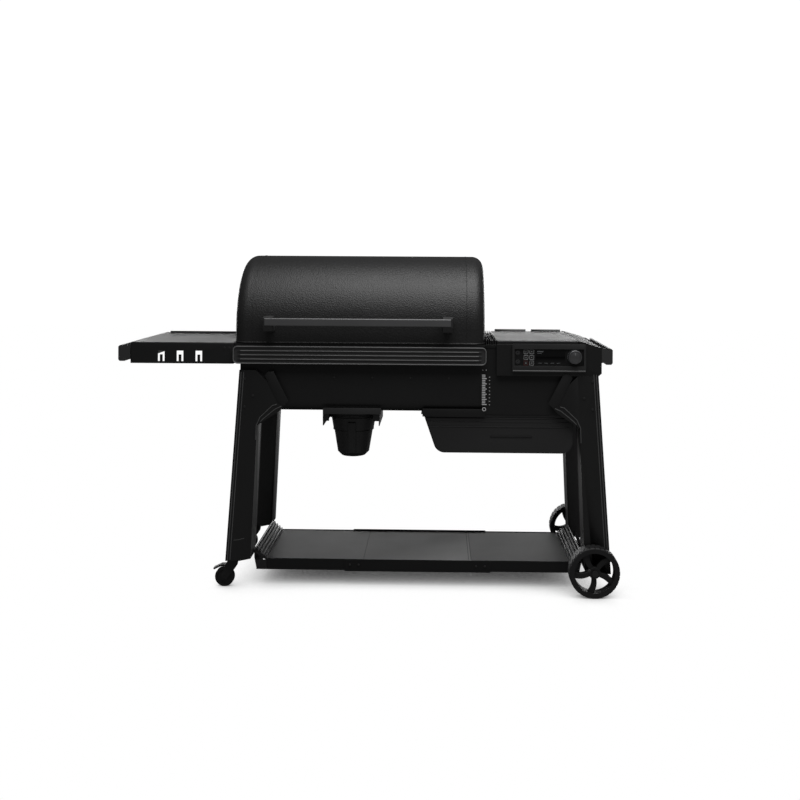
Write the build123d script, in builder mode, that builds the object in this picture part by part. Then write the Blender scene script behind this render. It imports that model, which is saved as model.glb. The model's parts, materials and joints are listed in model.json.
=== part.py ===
"""Pellet smoker grill. +X is right as seen from the front, +Y is back, +Z is up, in millimetres.

The origin is on the ground, under the middle of the grill's overall box.
"""
import os

from build123d import *

os.makedirs("parts", exist_ok=True)

# ---- driving dimensions ----
rails_span = 1778.0  # from the left end rail to the right one
overall_depth = 635.0
sheet = 2.0  # casings, lid and shelves
leg_sheet = 3.0

# ---- clearances ----
seat_gap = 0.3  # between a closed cover and what it rests on
running_fit = 0.1  # radial, pin or shaft in its bore
side_gap = 0.5  # between neighbours that don't touch

# ---- barrel and lid ----
barrel_left = -450.0
barrel_width = 884.0
barrel_front = -245.0
barrel_depth = 470.0
barrel_bottom = 641.0
barrel_corner = 40.0
lid_left = -471.5
lid_width = 905.5
lid_front = -258.0
lid_rear_reach = 0.0  # the lid's rear wall is flush with the barrel's
lid_bottom = 887.0
lid_height = 316.0
lid_front_radius = 260.0
lid_rear_radius = 212.0
lid_end_radius = 42.0
rim_thickness = 8.0

barrel_right = barrel_left + barrel_width
barrel_rear = barrel_front + barrel_depth
barrel_mid_y = (barrel_front + barrel_rear) / 2
lid_rear = barrel_rear + lid_rear_reach
lid_top = lid_bottom + lid_height
barrel_top = lid_bottom - seat_gap
overall_front = -overall_depth / 2
overall_rear = overall_depth / 2

hinge_x = (-300.0, 262.0)  # middle of each lid hinge
hinge_knuckle = 7.0
hinge_pin = 4.0
hinge_middle = 30.0
hinge_outer = 15.0

# ---- handle ----
handle_left = -356.0
handle_length = 672.0
handle_bar_height = 28.0
handle_bar_depth = 14.0
handle_z = 968.0
handle_bracket_width = 34.0
handle_bracket_height = 52.0

# ---- front accessory rail ----
rail_height = 64.0
rail_plate = 8.0
rail_rib = 4.5  # how far the ribs stand out of the plate
rail_rib_width = 4.0
rail_rib_count = 3
rail_end_radius = 18.0
rail_bottom = 815.0
rail_front = -275.0
rail_overhang = 4.0  # past the barrel's right end

rail_bosses = (-380.0, -109.0, 166.0, 380.0)

# ---- left shelf and end rails ----
shelf_width = 374.0
shelf_front = -262.0
shelf_depth = 432.0
shelf_top = 889.0
shelf_apron = 76.0
shelf_upstand = 5.0
slot_width = 24.0
slot_height = 38.0
slot_tongue_width = 10.0
slot_tongue_height = 24.0
slot_pitch = 68.0
slot_first = 113.0  # from the shelf's left end to the middle of its first slot
slot_floor = 8.0  # wall left under a slot
end_rail_height = 57.0
end_rail_thick = 13.0
end_rail_bottom = 820.0
end_rail_lip = 14.0
end_rail_cap = 3.0

# ---- hopper ----
hopper_left = 475.0
hopper_right = 850.0
hopper_front = -262.0
hopper_floor = 778.0
hopper_lid_width = 295.0
hopper_lid_depth = 420.0
hopper_lid_thick = 12.0
hopper_lid_front = -252.0
hopper_lid_top = 903.0
hopper_shoulder_z = 880.0
base_right = 842.0
base_bottom = 636.0
strip_top = 877.0
louvre_count = 5
louvre_height = 26.0
louvre_thick = 2.5
upstand_rise = 5.0  # behind the hopper lid, above its top
upstand_y = 200.0
upstand_gap = (621.0, 643.0)
mouth_margin = 14.0  # from the hopper lid's edge to the pellet mouth

hopper_knuckle = 4.5
hopper_pin = 2.5
hopper_hinge_middle = 30.0
hopper_hinge_outer = 20.0
feed_x = 560.0
feed_length = 70.0
feed_width = 36.0
funnel_straight_z = 812.0
inlet_x = 780.0
inlet_z = 700.0
inlet_width = 32.0
inlet_height = 24.0

# ---- control panel ----
bezel_left = 530.0
bezel_width = 263.0
bezel_bottom = 791.0
bezel_thick = 8.0
bezel_lip = 5.0
face_margin_side = 3.0
face_margin_top = 13.0
face_margin_bottom = 19.0
face_thick = 3.0
button_size = 17.6
button_rows = 3
button_columns = 2
button_left = 570.2
button_proud = 2.0
button_flange = 0.8
button_gap = 1.2  # between the flanges of two buttons
button_margin = 0.8  # between the bezel and the first and last rows
knob_x = 753.0
knob_z = 848.0
knob_radius = 24.0
knob_depth = 15.0
knob_travel = 1.5
jack_x = 550.0
jack_z = (861.0, 829.0)
jack_radius = 6.5
display_gap = 4.8  # between the buttons and the display
display_width = 106.0
display_height = 54.0

button_pitch = button_size + 2 * button_flange + button_gap
face_height = 2 * (bezel_lip + button_margin) + button_size + (button_rows - 1) * button_pitch
bezel_height = face_height + face_margin_top + face_margin_bottom
display_left = button_left + button_size + (button_columns - 1) * button_pitch + display_gap

knob_shaft_radius = 4.0
knob_bush_radius = 9.0
knob_bore_depth = 9.0
window_margin = 4.0

# ---- cart ----
cart_mid_x = 194.0
cart_front = -262.0
leg_depth = 85.0
leg_top = 791.0
leg_top_outer = -450.0
leg_foot_outer = -497.0
leg_foot_inner = -406.0
leg_knee_inner = -385.0
leg_knee_z = 592.0
leg_tip = (-278.0, 676.0)
leg_tip_low = (-306.0, 643.0)
leg_brow = (-376.0, 777.0)
leg_foot_z = 103.0
wheel_leg_foot_z = 72.0
foot_flat = 30.0  # from the caster's stem to where the foot starts to slant
foot_rise = 9.0

deck_z = 95.0
deck_front = -200.0
deck_depth = 350.0
deck_left = -360.0
deck_seam_left = -3.0
deck_seam_right = 390.0
deck_lip = 41.0
sleeve_overlap = 70.0
sleeve_drop = 3.0
shelf_end_rise = 33.0
shelf_end_ribs = 4

wheel_radius = 89.5
wheel_width = 44.0
wheel_x = 822.0
wheel_gap = 3.0
wheel_rim = 19.0
wheel_hub_radius = 19.0
wheel_spokes = 5
spoke_width = 13.0
axle_radius = 6.0

caster_radius = 35.0
caster_width = 22.0
caster_swivel_x = -478.0
caster_trail = 29.0
caster_stem_radius = 5.0
caster_pin_radius = 4.0
fork_cheek = 2.5

brake_pin = 2.5

# ---- under the barrel ----
keg_x = -58.0
keg_y = -30.0
keg_top_radius = 85.0
keg_bottom_radius = 60.0
keg_wall = 1.5
keg_rim_radius = 95.0
keg_rim_z = 592.0
keg_bottom = 443.0
keg_rail_width = 212.0
keg_rail_front = -135.0
keg_rail_length = 210.0
keg_rail_bottom = 570.0
bin_left = 213.0
bin_left_low = 262.0
bin_right = 751.0
bin_front = -238.0
bin_depth = 390.0
bin_bottom = 496.0
bin_corner = 40.0
bin_rim = 8.0

keg_rim_thick = 4.0
keg_round = 14.0
drain_radius = 22.0

# ---- rear exhaust ----
duct_left = -230.0
duct_width = 440.0
duct_bottom = 730.0
duct_height = 144.0
duct_slot_inset = 30.0
duct_slot_low = 861.0
duct_slot_height = 11.0

duct_right = duct_left + duct_width
duct_top = duct_bottom + duct_height

# ---- inside the barrel and its base ----
motor_left = 690.0
motor_right = 790.0
motor_shaft_wall = 20.0
fan_x = 560.0
fan_y = 120.0
fan_radius = 46.0
fan_half = 58.0  # half the fan housing's width
probe_length = 70.0
screw_radius = 3.6
screw_head = 2.2
barrel_screws = (-109.0, 28.0, 166.0, 304.0)
barrel_screw_z = 765.0
leg_screws = ((-430.0, 760.0), (-400.0, 700.0), (-430.0, 660.0))
fire_pot_x = 80.0
fire_pot_radius = 55.0
fire_pot_height = 90.0
auger_z = 702.0
tube_outer = 30.0
tube_inner = 27.0
auger_radius = 25.0
auger_shaft = 7.0
auger_pitch = 50.0
baffle_z = 762.0
pan_z = 800.0
pan_depth = 16.0
pan_seam = 0.05
grate_z = 852.0
grate_thick = 6.0
ledge = 14.0
grate_bar = 5.0
grate_pitch = 20.0


def block(x0, x1, y0, y1, z0, z1, mode=Mode.ADD):
    """A box between two corners, in the part that is being built."""
    with Locations(((x0 + x1) / 2, (y0 + y1) / 2, (z0 + z1) / 2)):
        Box(x1 - x0, y1 - y0, z1 - z0, mode=mode)


def rod(radius, axis, start, end, at, mode=Mode.ADD):
    """A cylinder along X, Y or Z from start to end; at is its place in the two other directions."""
    middle = (start + end) / 2
    centre = {"X": (middle, *at), "Y": (at[0], middle, at[1]), "Z": (*at, middle)}[axis]
    turn = {"X": (0, 90, 0), "Y": (90, 0, 0), "Z": (0, 0, 0)}[axis]
    with Locations(centre):
        Cylinder(radius, end - start, rotation=turn, mode=mode)


def front_outline(y):
    """A sketch plane seen from the front, with local X right and local Y up."""
    return Plane(origin=(0, y, 0), x_dir=(1, 0, 0), z_dir=(0, -1, 0))


def side_outline(x):
    """A sketch plane across the grill, with local X back and local Y up."""
    return Plane(origin=(x, 0, 0), x_dir=(0, 1, 0), z_dir=(1, 0, 0))


# X is drawn from the middle between the end rails; the wheels reach further right than the right rail,
# so every piece is moved to put the origin under the middle of the whole
origin_shift = rails_span / 4 - (wheel_x + wheel_radius) / 2


def save(builder, name):
    piece = Pos(origin_shift, 0, 0) * builder.part
    piece.label = name
    export_step(piece, f"parts/{name}.step")


# ==== lid ====
hinge_axis_y = lid_rear + 15.0
hinge_axis_z = lid_bottom + 8.0


def lid_form(inset):
    """The lid's closed outer form, or its hollow when inset by the sheet."""
    front = lid_front + inset
    rear = lid_rear - inset
    top = lid_top - inset
    with BuildPart() as form:
        with BuildSketch(side_outline(lid_left + inset)):
            with BuildLine():
                FilletPolyline((front, lid_bottom), (front, top), (rear, top), (rear, lid_bottom),
                               radius=(lid_front_radius - inset, lid_rear_radius - inset))
                Line((rear, lid_bottom), (front, lid_bottom))
            make_face()
        extrude(amount=lid_width - 2 * inset)
        ends = faces().sort_by(Axis.X)
        rounds = ends[0].edges() + ends[-1].edges()
        fillet([edge for edge in rounds if edge.center().Z > lid_bottom + 1], lid_end_radius - inset)
    return form.part


with BuildPart() as lid:
    add(lid_form(0))
    add(lid_form(sheet), mode=Mode.SUBTRACT)
    for x in hinge_x:
        for side in (-1, 1):
            x_in = x + side * (hinge_middle / 2 + side_gap)
            x_out = x_in + side * hinge_outer
            x0, x1 = sorted((x_in, x_out))
            block(x0, x1, lid_rear - sheet / 2, hinge_axis_y, hinge_axis_z - hinge_knuckle,
                  hinge_axis_z + hinge_knuckle)
            block(x0, x1, lid_rear - sheet / 2, lid_rear + sheet, hinge_axis_z, hinge_axis_z + 45)
            rod(hinge_knuckle, "X", x0, x1, (hinge_axis_y, hinge_axis_z))
            rod(hinge_pin + running_fit, "X", x0, x1, (hinge_axis_y, hinge_axis_z), Mode.SUBTRACT)
save(lid, "lid")

handle_right = handle_left + handle_length
handle_bar_rear = overall_front + handle_bar_depth
lid_front_flat_top = lid_top - lid_front_radius


def lid_front_at(z):
    """Y of the lid's front skin at height z."""
    rise = max(0.0, z - lid_front_flat_top)
    return lid_front + lid_front_radius - (lid_front_radius**2 - rise**2) ** 0.5


with BuildPart() as lid_handle:
    block(handle_left + 6, handle_right - 6, overall_front, handle_bar_rear,
          handle_z - handle_bar_height / 2, handle_z + handle_bar_height / 2)
    fillet(edges().filter_by(Axis.X), 4.0)
save(lid_handle, "lid_handle")

with BuildPart() as handle_brackets:
    bracket_low = handle_z - handle_bracket_height * 0.65
    bracket_high = bracket_low + handle_bracket_height
    for x in (handle_left, handle_right - handle_bracket_width):
        with BuildSketch(side_outline(x)):
            with BuildLine():
                Polyline((overall_front + 3, handle_z + handle_bar_height / 2 + 1),
                         (overall_front + 3, handle_z - handle_bar_height / 2 - 1),
                         (handle_bar_rear, bracket_low), (lid_front, bracket_low),
                         (lid_front, lid_front_flat_top), (lid_front_at(bracket_high), bracket_high),
                         (handle_bar_rear, bracket_high), close=True)
            make_face()
        extrude(amount=handle_bracket_width)
    add(lid_handle.part, mode=Mode.SUBTRACT)
    add(lid_form(0), mode=Mode.SUBTRACT)
save(handle_brackets, "handle_brackets")

# ==== barrel ====
rim_front = lid_front
rim_left = lid_left

with BuildPart() as barrel_shell:
    with BuildSketch(side_outline(barrel_left)):
        with BuildLine():
            FilletPolyline((barrel_front, barrel_top), (barrel_front, barrel_bottom),
                           (barrel_rear, barrel_bottom), (barrel_rear, barrel_top),
                           radius=barrel_corner)
            Line((barrel_rear, barrel_top), (barrel_front, barrel_top))
        make_face()
    extrude(amount=barrel_width)
    with BuildSketch(side_outline(barrel_left + sheet)):
        with BuildLine():
            inner_front = barrel_front + sheet
            inner_rear = barrel_rear - sheet
            inner_bottom = barrel_bottom + sheet
            FilletPolyline((inner_front, barrel_top), (inner_front, inner_bottom),
                           (inner_rear, inner_bottom), (inner_rear, barrel_top),
                           radius=barrel_corner - sheet)
            Line((inner_rear, barrel_top), (inner_front, barrel_top))
        make_face()
    extrude(amount=barrel_width - 2 * sheet, mode=Mode.SUBTRACT)
    # the rim that the lid closes on reaches out to the lid's front and left end
    block(rim_left, barrel_left, rim_front, barrel_rear, barrel_top - rim_thickness, barrel_top)
    block(barrel_left, barrel_right, rim_front, barrel_front, barrel_top - rim_thickness, barrel_top)
    for z in (baffle_z, pan_z, grate_z):
        block(barrel_left + sheet, barrel_right - sheet, inner_front, inner_front + ledge, z - sheet, z)
        block(barrel_left + sheet, barrel_right - sheet, inner_rear - ledge, inner_rear, z - sheet, z)
    rod(drain_radius, "Z", barrel_bottom - 1, inner_bottom + 1, (keg_x, keg_y), Mode.SUBTRACT)
    block(duct_left + duct_slot_inset, duct_right - duct_slot_inset, inner_rear - 1, barrel_rear + 1,
          duct_slot_low, duct_slot_low + duct_slot_height, Mode.SUBTRACT)
    rod(tube_outer, "X", barrel_right - 2 * sheet, barrel_right + 1, (barrel_mid_y, auger_z), Mode.SUBTRACT)
save(barrel_shell, "barrel_shell")

# ==== ribbed front rail ====
rail_left = lid_left
rail_right = barrel_right + rail_overhang
rail_mid_x = (rail_left + rail_right) / 2
rail_mid_z = rail_bottom + rail_height / 2
rail_back = rail_front + rail_rib + rail_plate

with BuildPart() as front_rail:
    with BuildSketch(front_outline(rail_back)):
        with Locations((rail_mid_x, rail_mid_z)):
            RectangleRounded(rail_right - rail_left, rail_height, rail_end_radius)
    extrude(amount=rail_plate + rail_rib)
    with BuildSketch(front_outline(rail_front)):
        with Locations((rail_mid_x, rail_mid_z)):
            RectangleRounded(rail_right - rail_left - 2 * rail_rib_width, rail_height - 2 * rail_rib_width,
                             rail_end_radius - rail_rib_width)
        rib_pitch = (rail_height - rail_rib_width) / (rail_rib_count + 1)
        for row in range(1, rail_rib_count + 1):
            with Locations((rail_mid_x, rail_bottom + rail_rib_width / 2 + row * rib_pitch)):
                Rectangle(rail_right - rail_left - 2 * rail_end_radius, rail_rib_width, mode=Mode.SUBTRACT)
    extrude(amount=-rail_rib, mode=Mode.SUBTRACT)
    for x in rail_bosses:
        block(x - 15, x + 15, rail_back, barrel_front, rail_mid_z - 15, rail_mid_z + 15)
save(front_rail, "front_rail")

# ==== left side shelf ====
shelf_right = lid_left - seat_gap
shelf_left = shelf_right - shelf_width
shelf_rear = shelf_front + shelf_depth
shelf_bottom = shelf_top - shelf_apron
slot_bottom = shelf_bottom + slot_floor

with BuildPart() as left_shelf:
    block(shelf_left, shelf_right, shelf_front, shelf_rear, shelf_bottom, shelf_top)
    fillet(edges().filter_by(Axis.Z), 6.0)
    fillet(faces().sort_by(Axis.Z)[-1].edges(), 4.0)
    block(shelf_left + sheet, shelf_right - sheet, shelf_front + sheet, shelf_rear - sheet,
          shelf_bottom - 1, shelf_top - sheet, Mode.SUBTRACT)
    block(shelf_left + 20, shelf_right - 10, shelf_rear - 8, shelf_rear - 5, shelf_top - 1,
          shelf_top + shelf_upstand)
    # the arms that carry the shelf run past the barrel's end wall
    for y in (shelf_front + 60, shelf_rear - 60):
        block(shelf_right - sheet, barrel_left, y - 20, y + 20, shelf_bottom + 5,
              barrel_top - rim_thickness - 12)
    for number in range(3):
        x = shelf_left + slot_first + number * slot_pitch
        block(x - slot_width / 2, x + slot_width / 2, shelf_front - 1, shelf_front + 2 * sheet,
              slot_bottom, slot_bottom + slot_height, Mode.SUBTRACT)
        block(x - slot_tongue_width / 2, x + slot_tongue_width / 2, shelf_front, shelf_front + sheet,
              slot_bottom - 1, slot_bottom + slot_tongue_height)
save(left_shelf, "left_shelf")

# ==== end rails ====


def end_rail(outer, towards, anchor, name):
    """A ribbed rail along the depth; towards is +1 where its brackets run to the right."""
    top = end_rail_bottom + end_rail_height
    with BuildPart() as rail:
        with BuildSketch(front_outline(shelf_front)):
            with BuildLine():
                back = outer + towards * end_rail_thick
                Polyline((outer, end_rail_bottom + 6), (outer, top - 5), (outer + towards * 5, top),
                         (back, top),
                         (back, end_rail_bottom + end_rail_lip),
                         (back + towards * end_rail_lip, end_rail_bottom + end_rail_lip / 2),
                         (back + towards * (end_rail_lip - 4), end_rail_bottom),
                         (outer + towards * 5, end_rail_bottom), close=True)
            make_face()
        extrude(amount=-shelf_depth)
        for row in range(4):
            z = end_rail_bottom + 12 + row * 11
            x0, x1 = sorted((outer - towards, outer + towards * 3))
            block(x0, x1, shelf_front + 15, shelf_rear - 15, z, z + 5, Mode.SUBTRACT)
        x0, x1 = sorted((back, anchor))
        for y in (shelf_front + 40, barrel_mid_y - 36, shelf_rear - 40):
            block(x0, x1, y - 16, y + 16, end_rail_bottom + 22, end_rail_bottom + 46)
        # a cap at each end closes the gap to the shelf or the hopper
        for y in (shelf_front, shelf_rear - end_rail_cap):
            with BuildSketch(front_outline(y)):
                with BuildLine():
                    Polyline((anchor, top + 3), (anchor - towards * 12, top + 1), (outer, top - 15),
                             (outer, end_rail_bottom + 6), (outer + towards * 5, end_rail_bottom),
                             (back + towards * 8, end_rail_bottom + 10), (anchor,
                                                                          end_rail_bottom + 6), close=True)
                make_face()
            extrude(amount=-end_rail_cap)
    save(rail, name)


end_rail(-rails_span / 2, 1, shelf_left, "left_rail")
end_rail(rails_span / 2, -1, hopper_right, "right_rail")

# ==== hopper casing ====
hopper_rear = barrel_rear
hopper_rim = hopper_lid_top - hopper_lid_thick - seat_gap
hopper_lid_right = hopper_left + hopper_lid_width
base_left = barrel_right
mouth = (hopper_left + mouth_margin, hopper_lid_right - mouth_margin,
         hopper_lid_front + mouth_margin + 6, hopper_lid_front + hopper_lid_depth - mouth_margin)
face_left = bezel_left + face_margin_side
face_right = bezel_left + bezel_width - face_margin_side
face_bottom = bezel_bottom + face_margin_bottom
face_top = bezel_bottom + bezel_height - face_margin_top


def base_points(inset):
    """The corners of the base that runs on from the barrel, seen from the front."""
    return ((base_left + inset, base_bottom + inset), (base_right - inset, base_bottom + inset),
            (base_right - inset, hopper_floor + 1), (hopper_left - inset, hopper_floor + 1),
            (hopper_left - inset, strip_top - inset), (base_left + inset, strip_top - inset))


def hopper_points(inset):
    """The corners of the hopper above the base, with the shoulder that slopes down to the right."""
    step_x = hopper_lid_right + seat_gap + inset
    shoulder_top = hopper_lid_top - 2 - inset
    return ((hopper_left + inset, hopper_floor + inset), (hopper_right - 12, hopper_floor + inset),
            (hopper_right - inset, hopper_floor + 10 + inset), (hopper_right - inset,
                                                                hopper_shoulder_z - inset),
            (step_x + 8, shoulder_top), (step_x, shoulder_top),
            (step_x, hopper_rim - inset), (hopper_left + inset, hopper_rim - inset))


with BuildPart() as hopper_casing:
    with BuildSketch(front_outline(barrel_front)):
        with BuildLine():
            Polyline(*base_points(0), close=True)
        make_face()
    extrude(amount=-(barrel_rear - barrel_front))
    with BuildSketch(front_outline(hopper_front)):
        with BuildLine():
            Polyline(*hopper_points(0), close=True)
        make_face()
    extrude(amount=-(hopper_rear - hopper_front))
    with BuildSketch(front_outline(barrel_front + sheet)):
        with BuildLine():
            Polyline(*base_points(sheet), close=True)
        make_face()
    extrude(amount=-(barrel_rear - barrel_front - 2 * sheet), mode=Mode.SUBTRACT)
    with BuildSketch(front_outline(hopper_front + sheet)):
        with BuildLine():
            Polyline(*hopper_points(sheet), close=True)
        make_face()
    extrude(amount=-(hopper_rear - hopper_front - 2 * sheet), mode=Mode.SUBTRACT)
    # open between the base and the hopper, so that the auger and its motor can be reached
    block(hopper_left + 3 * sheet, base_right - 3 * sheet, barrel_front + 3 * sheet,
          barrel_rear - 3 * sheet,
          hopper_floor - 1, hopper_floor + 2 * sheet, Mode.SUBTRACT)
    block(mouth[0], mouth[1], mouth[2], mouth[3], hopper_rim - 2 * sheet, hopper_rim + 1, Mode.SUBTRACT)
    block(face_left + window_margin, face_right - window_margin, hopper_front - 1, hopper_front + 2 * sheet,
          face_bottom + window_margin, face_top - window_margin, Mode.SUBTRACT)
    block(inlet_x - inlet_width / 2, inlet_x + inlet_width / 2, hopper_rear - 2 * sheet, hopper_rear + 1,
          inlet_z - inlet_height / 2, inlet_z + inlet_height / 2, Mode.SUBTRACT)
    rod(tube_outer, "X", base_left - 1, base_left + 2 * sheet, (barrel_mid_y, auger_z), Mode.SUBTRACT)
    louvre_pitch = (hopper_left - base_left - louvre_thick - 6) / (louvre_count - 1)
    for number in range(louvre_count):
        x = base_left + 3 + number * louvre_pitch
        block(x, x + louvre_thick, barrel_front, barrel_rear - 40, strip_top - sheet / 2,
              strip_top + louvre_height)
    # front nose of the louvres ties them together
    block(base_left + 1, hopper_left, barrel_front - 2, barrel_front + 2, strip_top - sheet, strip_top + 10)
    # two strips behind the lid, with a finger gap between them
    for x0, x1 in ((hopper_left + 20, upstand_gap[0]), (upstand_gap[1], hopper_lid_right - 8)):
        block(x0, x1, upstand_y, upstand_y + sheet, hopper_rim - sheet, hopper_lid_top + upstand_rise)
save(hopper_casing, "hopper_casing")

# ==== hopper lid ====
hopper_hinge_y = hopper_lid_front + hopper_lid_depth + 7.0
hopper_hinge_z = hopper_lid_top - 5.0
hopper_hinge_x = (hopper_left + 60.0, hopper_lid_right - 60.0)

with BuildPart() as hopper_lid:
    lid_z0 = hopper_lid_top - hopper_lid_thick
    block(hopper_left, hopper_lid_right, hopper_lid_front, hopper_lid_front + hopper_lid_depth, lid_z0,
          hopper_lid_top)
    fillet(edges().filter_by(Axis.Z), 5.0)
    fillet(faces().sort_by(Axis.Z)[-1].edges(), 4.0)
    block(hopper_left + sheet, hopper_lid_right - sheet, hopper_lid_front + sheet,
          hopper_lid_front + hopper_lid_depth - sheet, lid_z0 - 1, hopper_lid_top - sheet, Mode.SUBTRACT)
    for x in hopper_hinge_x:
        for side in (-1, 1):
            near = x + side * (hopper_hinge_middle / 2 + side_gap)
            x0, x1 = sorted((near, near + side * hopper_hinge_outer))
            block(x0, x1, hopper_lid_front + hopper_lid_depth - sheet, hopper_hinge_y, hopper_hinge_z - 2,
                  hopper_hinge_z + 2)
            rod(hopper_knuckle, "X", x0, x1, (hopper_hinge_y, hopper_hinge_z))
            rod(hopper_pin + running_fit, "X", x0, x1, (hopper_hinge_y, hopper_hinge_z), Mode.SUBTRACT)
save(hopper_lid, "hopper_lid")

# ==== hinge leaves and pins ====
with BuildPart() as hinge_brackets:
    for x in hinge_x:
        half = hinge_middle / 2
        block(x - half - 20, x + half + 20, barrel_rear, barrel_rear + 3, hinge_axis_z - 75,
              hinge_axis_z - 15)
        block(x - half, x + half, barrel_rear, hinge_axis_y + 3, hinge_axis_z - 24, hinge_axis_z - 15)
        block(x - half, x + half, hinge_axis_y - 3, hinge_axis_y + 3, hinge_axis_z - 20, hinge_axis_z)
        rod(hinge_knuckle, "X", x - half, x + half, (hinge_axis_y, hinge_axis_z))
        rod(hinge_pin, "X", x - half - 1, x + half + 1, (hinge_axis_y, hinge_axis_z), Mode.SUBTRACT)
    for x in hopper_hinge_x:
        half = hopper_hinge_middle / 2
        block(x - half, x + half, hopper_hinge_y - 1, hopper_hinge_y + 1, hopper_rim, hopper_hinge_z)
        block(x - half, x + half, hopper_hinge_y - 1, hopper_hinge_y + 22, hopper_rim, hopper_rim + 2)
        rod(hopper_knuckle, "X", x - half, x + half, (hopper_hinge_y, hopper_hinge_z))
        rod(hopper_pin, "X", x - half - 1, x + half + 1, (hopper_hinge_y, hopper_hinge_z), Mode.SUBTRACT)
save(hinge_brackets, "hinge_brackets")

with BuildPart() as hinge_pins:
    for x in hinge_x:
        reach = hinge_middle / 2 + side_gap + hinge_outer + 2
        rod(hinge_pin, "X", x - reach, x + reach, (hinge_axis_y, hinge_axis_z))
    for x in hopper_hinge_x:
        reach = hopper_hinge_middle / 2 + side_gap + hopper_hinge_outer + 1
        rod(hopper_pin, "X", x - reach, x + reach, (hopper_hinge_y, hopper_hinge_z))
save(hinge_pins, "hinge_pins")

# ==== pellet funnel ====
feed_z = auger_z + tube_outer + 6


def funnel_form(inset):
    """The funnel's outer form, or its hollow when inset by the sheet."""
    x0, x1, y0, y1 = mouth
    centre = ((x0 + x1) / 2, (y0 + y1) / 2)
    with BuildPart() as form:
        with BuildSketch(Plane.XY.offset(funnel_straight_z)):
            with Locations(centre):
                Rectangle(x1 - x0 - 2 * inset, y1 - y0 - 2 * inset)
        extrude(amount=hopper_rim - sheet - funnel_straight_z)
        with BuildSketch(Plane.XY.offset(funnel_straight_z)):
            with Locations(centre):
                Rectangle(x1 - x0 - 2 * inset, y1 - y0 - 2 * inset)
        with BuildSketch(Plane.XY.offset(feed_z)):
            with Locations((feed_x, barrel_mid_y)):
                Rectangle(feed_length - 2 * inset, feed_width - 2 * inset)
        loft()
    return form.part


with BuildPart() as hopper_funnel:
    add(funnel_form(0))
    add(funnel_form(sheet), mode=Mode.SUBTRACT)
save(hopper_funnel, "hopper_funnel")

# ==== control panel ====
face_front = hopper_front - face_thick
bezel_front = hopper_front - bezel_thick
bezel_top = bezel_bottom + bezel_height
first_button_x = button_left + button_size / 2
first_button_z = face_top - bezel_lip - button_margin - button_size / 2
button_places = [(first_button_x + column * button_pitch, first_button_z - row * button_pitch)
                 for row in range(button_rows) for column in range(button_columns)]

with BuildPart() as control_bezel:
    with BuildSketch(side_outline(bezel_left)):
        with BuildLine():
            Polyline((hopper_front, bezel_bottom), (hopper_front, bezel_top), (bezel_front, bezel_top),
                     (bezel_front, bezel_bottom + 2 * bezel_lip), (hopper_front - 2,
                                                                   bezel_bottom), close=True)
        make_face()
    extrude(amount=bezel_width)
    fillet(edges().filter_by(Axis.Y).group_by(Axis.Z)[-1], 6.0)
    block(face_left + bezel_lip, face_right - bezel_lip, bezel_front - 1, hopper_front + 1,
          face_bottom + bezel_lip, face_top - bezel_lip, Mode.SUBTRACT)
    block(face_left - seat_gap, face_right + seat_gap, face_front - seat_gap, hopper_front + 1,
          face_bottom - seat_gap, face_top + seat_gap, Mode.SUBTRACT)
save(control_bezel, "control_bezel")

with BuildPart() as control_face:
    block(face_left, face_right, face_front, hopper_front, face_bottom, face_top)
    for x, z in button_places:
        hole = button_size / 2 + 0.2
        block(x - hole, x + hole, face_front - 1, hopper_front + 1, z - hole, z + hole, Mode.SUBTRACT)
    block(display_left, display_left + display_width, face_front - 1, face_front + 1,
          knob_z - 3 - display_height / 2, knob_z - 3 + display_height / 2, Mode.SUBTRACT)
    rod(knob_bush_radius, "Y", hopper_front, hopper_front + 12, (knob_x, knob_z))
    rod(knob_shaft_radius + running_fit, "Y", face_front - 1, hopper_front + 13, (knob_x, knob_z),
        Mode.SUBTRACT)
    for z in jack_z:
        rod(jack_radius, "Y", face_front - 1, hopper_front + 1, (jack_x, z), Mode.SUBTRACT)
save(control_face, "control_face")

for number, (x, z) in enumerate(button_places):
    row, column = divmod(number, button_columns)
    with BuildPart() as button:
        half = button_size / 2
        block(x - half, x + half, face_front - button_proud, hopper_front + running_fit, z - half, z + half)
        fillet(faces().sort_by(Axis.Y)[0].edges(), 0.8)
        flange = half + button_flange
        block(x - flange, x + flange, hopper_front + running_fit, hopper_front + 2.5, z - flange,
              z + flange)
    save(button, f"button_row{row + 1}_{'left' if column == 0 else 'right'}")

with BuildPart() as probe_jacks:
    for z in jack_z:
        rod(jack_radius - 0.1, "Y", face_front - 2, hopper_front + 10, (jack_x, z))
        rod(jack_radius + 2, "Y", face_front - 1.5, face_front, (jack_x, z))
        rod(2.6, "Y", face_front - 3, hopper_front + 6, (jack_x, z), Mode.SUBTRACT)
save(probe_jacks, "probe_jacks")

knob_rear = face_front - knob_travel - 1.0
knob_front = knob_rear - knob_depth

with BuildPart() as knob_shaft:
    rod(knob_shaft_radius, "Y", knob_rear - knob_bore_depth + 1, hopper_front + 16, (knob_x, knob_z))
    rod(knob_shaft_radius + 2.5, "Y", hopper_front + 12 + seat_gap, hopper_front + 14, (knob_x, knob_z))
save(knob_shaft, "knob_shaft")

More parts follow.
